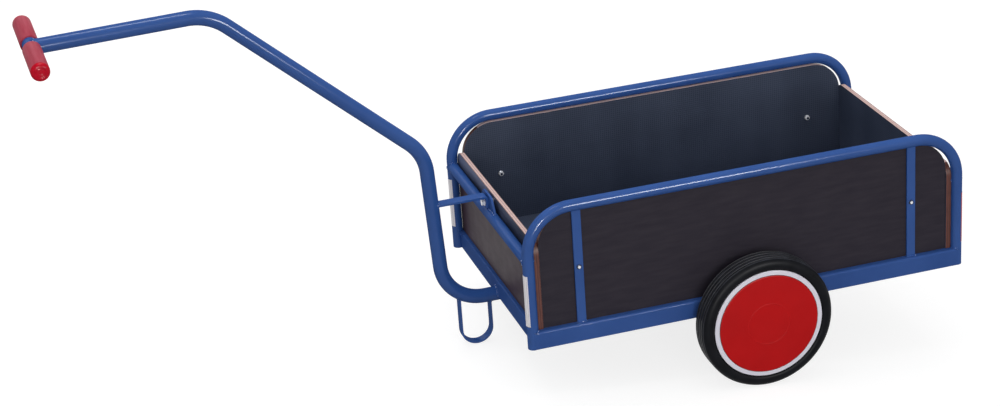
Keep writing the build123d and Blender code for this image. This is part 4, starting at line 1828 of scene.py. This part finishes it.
@dataclass
class WeldBeads:
    """The painted weld beads at the joints of frame, drawbar, strut and stand."""

    half_gap: float = POST_GAP
    post: float = POST_RADIUS
    cross_height: float = CROSS_HEIGHT
    cross_bead: float = 0.0021
    rail_top: float = RAIL_HEIGHT
    rail_face: float = RAIL_SETBACK
    foot_arc: tuple[float, float] = (-84, -18)
    foot_bead: float = 0.0020
    stay_x: float = STAY_X
    stay_half: float = STAY_WIDTH / 2
    stay_face: float = 0.2875
    stay_back: float = 0.2832
    stay_bead: float = 0.0016
    bar: float = BAR_RADIUS
    bar_z: float = BAR_ROOT
    bar_arc: tuple[float, float] = (-10, 190)
    bar_bead: float = 0.0028
    heel_x: float = -0.0241
    heel_bend: float = HEEL_BEND
    handle: Point = HANDLE
    handle_way: Point = (-0.99969, 0, -0.02495)
    handle_bead: float = 0.0016
    strut_x: float = -0.1269
    strut_half: float = STRUT_WIDTH / 2
    strut_faces: tuple[float, float] = (0.245, 0.239)
    strut_bead: float = 0.0020
    lug_faces: tuple[float, float] = (-0.0012, 0.0042)
    lug_half: float = 0.050
    lug_bead: float = 0.0018
    legs: tuple[float, float] = (-0.083, -0.013)
    leg_half: float = STAND_WIDTH / 2
    leg_thick: float = STAND_THICK
    leg_bead: float = 0.0016
    step: float = 0.0016

    def run(self, *corners: Point) -> list[Vector]:
        """Points a step apart along straight runs.

        Args:
            corners: Ends of the runs.

        Returns:
            The points.
        """
        points = [Vector(corners[0])]
        for before, after in zip(corners, corners[1:]):
            before, after = Vector(before), Vector(after)
            count = max(1, round((after - before).length / self.step))
            points += [before.lerp(after, number / count) for number in range(1, count + 1)]
        return points

    def turn(self, start: float, end: float, radius: float) -> list[float]:
        """Angles, in radians, a step apart on a circle.

        Args:
            start: First angle in degrees.
            end: Last angle in degrees.
            radius: The circle's radius.

        Returns:
            The angles.
        """
        span = end - start
        count = round(math.radians(span) * radius / self.step)
        return [math.radians(start + span * number / count) for number in range(count + 1)]

    def cross_saddle(self) -> Piece:
        """Round the end of the front cross tube on the left post.

        Returns:
            The bead.
        """
        r = self.post
        path = [(r * math.cos(t), r * abs(math.sin(t)) - self.half_gap,
                 self.cross_height + r * math.sin(t)) for t in self.turn(0, 360, r)[:-1]]
        return Piece.bead("frame_welds", path, self.cross_bead, True)

    def post_foot(self) -> Piece:
        """Round the left front post where it meets the rail.

        Returns:
            The bead.
        """
        r = self.post
        path = [(r * math.cos(t), r * math.sin(t) - self.half_gap, self.rail_top)
                for t in self.turn(*self.foot_arc, r)]
        return Piece.bead("post_weld", path, self.foot_bead)

    def stay_foot(self) -> Piece:
        """Round the foot of the left front stay.

        Returns:
            The bead.
        """
        low, high = self.stay_x - self.stay_half, self.stay_x + self.stay_half
        corners = [(low, self.stay_back), (low, self.stay_face), (high, self.stay_face),
                   (high, self.stay_back)]
        path = self.run(*((x, -y, self.rail_top) for x, y in corners))
        return Piece.bead("stay_weld", path, self.stay_bead)

    def bar_collar(self) -> Piece:
        """Over the drawbar where it goes through the front rail.

        Returns:
            The bead.
        """
        r = self.bar
        path = [(self.rail_face, r * math.cos(t), self.bar_z + r * math.sin(t))
                for t in self.turn(*self.bar_arc, r)]
        return Piece.bead("drawbar_welds", path, self.bar_bead)

    def handle_saddle(self) -> Piece:
        """Round the drawbar's end on the handle tube.

        Returns:
            The bead.
        """
        r, way, across = self.bar, Vector(self.handle_way), Vector((0, 1, 0))
        up = way.cross(across)
        path = [Vector(self.handle) - way * r * abs(math.cos(t)) + up * r * math.sin(t)
                + across * r * math.cos(t) for t in self.turn(0, 360, r)[:-1]]
        return Piece.bead("handle_weld", path, self.handle_bead, True)

    def strut_root(self, height: float) -> Piece:
        """Across one face of the strut on the drawbar.

        Args:
            height: Of the face.

        Returns:
            The bead.
        """
        places = self.run((0, -self.strut_half, height), (0, self.strut_half, height))
        path = [(self.strut_x + math.sqrt(self.bar ** 2 - at.y ** 2), at.y, at.z) for at in places]
        return Piece.bead("strut_weld", path, self.strut_bead)

    def lug_foot(self, face: float) -> Piece:
        """Along one side of the lug on the cross tube.

        Args:
            face: Place of that side.

        Returns:
            The bead.
        """
        height = self.cross_height + math.sqrt(self.post ** 2 - face ** 2)
        path = self.run((face, -self.lug_half, height), (face, self.lug_half, height))
        return Piece.bead("lug_weld", path, self.lug_bead)

    def under_bar(self, x: float, y: float) -> float:
        """Height of the drawbar's underside near its heel.

        Args:
            x: Place along the cart.
            y: Place across it.

        Returns:
            The height.
        """
        reach = math.sqrt(self.bar ** 2 - y ** 2)
        if x > self.heel_x:
            return self.bar_z - reach
        outside = self.heel_bend + reach
        return self.bar_z + self.heel_bend - math.sqrt(outside ** 2 - (x - self.heel_x) ** 2)

    def leg_collar(self, middle: float) -> Piece:
        """Round one leg of the stand under the drawbar.

        Args:
            middle: The leg's place along the cart.

        Returns:
            The bead.
        """
        front, back = middle - self.leg_thick / 2, middle + self.leg_thick / 2
        half = self.leg_half
        around = self.run((front, -half, 0), (front, half, 0), (back, half, 0), (back, -half, 0),
                          (front, -half, 0))
        path = [(at.x, at.y, self.under_bar(at.x, at.y)) for at in around[:-1]]
        return Piece.bead("leg_weld", path, self.leg_bead, True)

    def build(self) -> None:
        """Two groups of beads: the frame's and the drawbar's."""
        corner = [self.cross_saddle(), self.post_foot(), self.stay_foot()]
        twins = [bead.twin("weld_twin", mirror) for bead in corner
                 for mirror in (MIRROR_Y, TO_REAR, TO_REAR_RIGHT)]
        corner[0].join(corner[1:] + twins).finish(WELD, CHASSIS)
        collar = self.bar_collar()
        rest = [self.handle_saddle(), *map(self.strut_root, self.strut_faces),
                *map(self.lug_foot, self.lug_faces), *map(self.leg_collar, self.legs)]
        collar.join(rest).finish(WELD, CHASSIS)


def dress_running_gear() -> None:
    """Axle, brackets and what keeps the wheels on, in their CAD shapes."""
    dress_node(PAINT, "axle_bracket_left", "axle_bracket_right")
    dress_node(STEEL, "axle")
    dress_node(ZINC, "axle_collars", "axle_washers", "axle_split_pins")


class Duty(Enum):
    """What a lamp does: lights the surfaces, or only shows as a shine in the gloss."""

    LIGHT = "light"
    SHINE = "shine"


@dataclass(frozen=True)
class Lamp:
    """A soft rectangular lamp, placed in the level drawing and turned to its target."""

    name: str
    duty: Duty
    place: Point
    size: tuple[float, float]
    power: float
    target: Point = (0.2, 0.0, 0.3)

    def hang(self) -> None:
        """Puts the lamp up."""
        data = bpy.data.lights.new(self.name, "AREA")
        data.shape, data.energy = "RECTANGLE", self.power
        data.size, data.size_y = self.size
        lamp = bpy.data.objects.new(self.name, data)
        bpy.context.scene.collection.objects.link(lamp)
        aim = (Vector(self.target) - Vector(self.place)).to_track_quat("-Z", "Y")
        lamp.matrix_world = PARK @ Matrix.Translation(self.place) @ aim.to_matrix().to_4x4()
        lamp.visible_diffuse = self.duty is Duty.LIGHT
        lamp.visible_glossy = self.duty is Duty.SHINE


def grey(level: float) -> Colour:
    """A neutral colour."""
    return level, level, level, 1.0


@dataclass
class Studio:
    """Pale floor, soft light and the camera of the photograph."""

    lens: float = 85.0
    sensor: float = 36.0
    clip: tuple[float, float] = (0.1, 200.0)
    eye: Point = (-1.2457, -4.5837, 2.2986)
    right: Point = (0.95313, -0.29512, -0.06667)
    ahead: Point = (0.2453, 0.88276, -0.40071)
    floor_size: float = 60.0
    floor_drop: float = 0.0005
    floor_gloss: float = 0.9
    sky: float = 0.6
    pale: float = 0.3
    lift: float = 0.8
    lamps: tuple[Lamp, ...] = (
        Lamp("overhead", Duty.LIGHT, (0.2, 0.5, 4.2), (3.4, 3.0), 50),
        Lamp("front_fill", Duty.LIGHT, (0.0, -5.0, 1.6), (3.0, 1.6), 78),
        Lamp("back_fill", Duty.LIGHT, (0.6, 5.0, 2.0), (3.0, 1.6), 45),
        Lamp("left_box", Duty.LIGHT, (-3.0, -0.4, 2.4), (0.4, 0.9), 6),
        Lamp("rail_strip", Duty.SHINE, (1.21, -3.3, 1.38), (1.2, 0.9), 165),
        Lamp("bend_strip", Duty.SHINE, (-1.0, -4.3, 0.72), (0.45, 1.0), 170),
        Lamp("bar_strip", Duty.SHINE, (-0.55, 0.1, 2.8), (0.9, 0.3), 16, (-0.7, 0.0, 0.75)),
        Lamp("cross_strip", Duty.SHINE, (-1.1, 3.6, 1.9), (2.2, 0.8), 11))

    def camera(self) -> None:
        """Places the camera by its level place and directions."""
        data = bpy.data.cameras.new("camera")
        data.lens, data.sensor_width, data.sensor_fit = self.lens, self.sensor, "HORIZONTAL"
        data.clip_start, data.clip_end = self.clip
        camera = bpy.data.objects.new("camera", data)
        bpy.context.scene.collection.objects.link(camera)
        back = -Vector(self.ahead).normalized()
        up = back.cross(Vector(self.right)).normalized()
        axes = Matrix((up.cross(back), up, back)).transposed().to_4x4()
        camera.matrix_world = PARK @ Matrix.Translation(self.eye) @ axes
        bpy.context.scene.camera = camera

    def world(self) -> None:
        """White to the camera and in reflections, a plain soft sky for diffuse light."""
        world = bpy.data.worlds.new("studio")
        bpy.context.scene.world = world
        world.use_nodes = True
        bench = NodeBench(world.node_tree)
        bench.feed(world.node_tree.nodes["Background"].inputs["Color"],
                   bench.blend(bench.seen(), grey(self.sky), grey(1.0)))

    def floor(self) -> None:
        """A wide pale floor that takes the shadow."""
        Piece.clear()
        bpy.ops.mesh.primitive_plane_add(size=self.floor_size, location=(0, 0, -self.floor_drop))
        floor = bpy.context.object
        floor.name = "studio_floor"
        recipe = Recipe("studio_floor")
        glow = recipe.blend(recipe.seen(), grey(0.0), grey(self.lift))
        recipe.skin(Base_Color=grey(self.pale), Roughness=self.floor_gloss, Specular_IOR_Level=0.0,
                    Emission_Color=glow, Emission_Strength=1.0)
        floor.data.materials.append(recipe.material)

    def build(self) -> None:
        """The whole studio, colours as written."""
        bpy.context.scene.view_settings.view_transform = "Standard"
        self.camera()
        self.world()
        self.floor()
        for lamp in self.lamps:
            lamp.hang()


def main() -> None:
    """Builds the cart's pieces in order, then the studio."""
    logging.basicConfig(level=logging.INFO, format="%(message)s")
    TubeFrame().build()
    FloorRails().build()
    PlyBox().build()
    Drawbar().build()
    StrutJoint().build()
    ParkingStand().build()
    for side in Side:
        Wheel(side).build()
    PostStrips().build()
    WeldBeads().build()
    dress_running_gear()
    Studio().build()


if __name__ == "__main__":
    main()
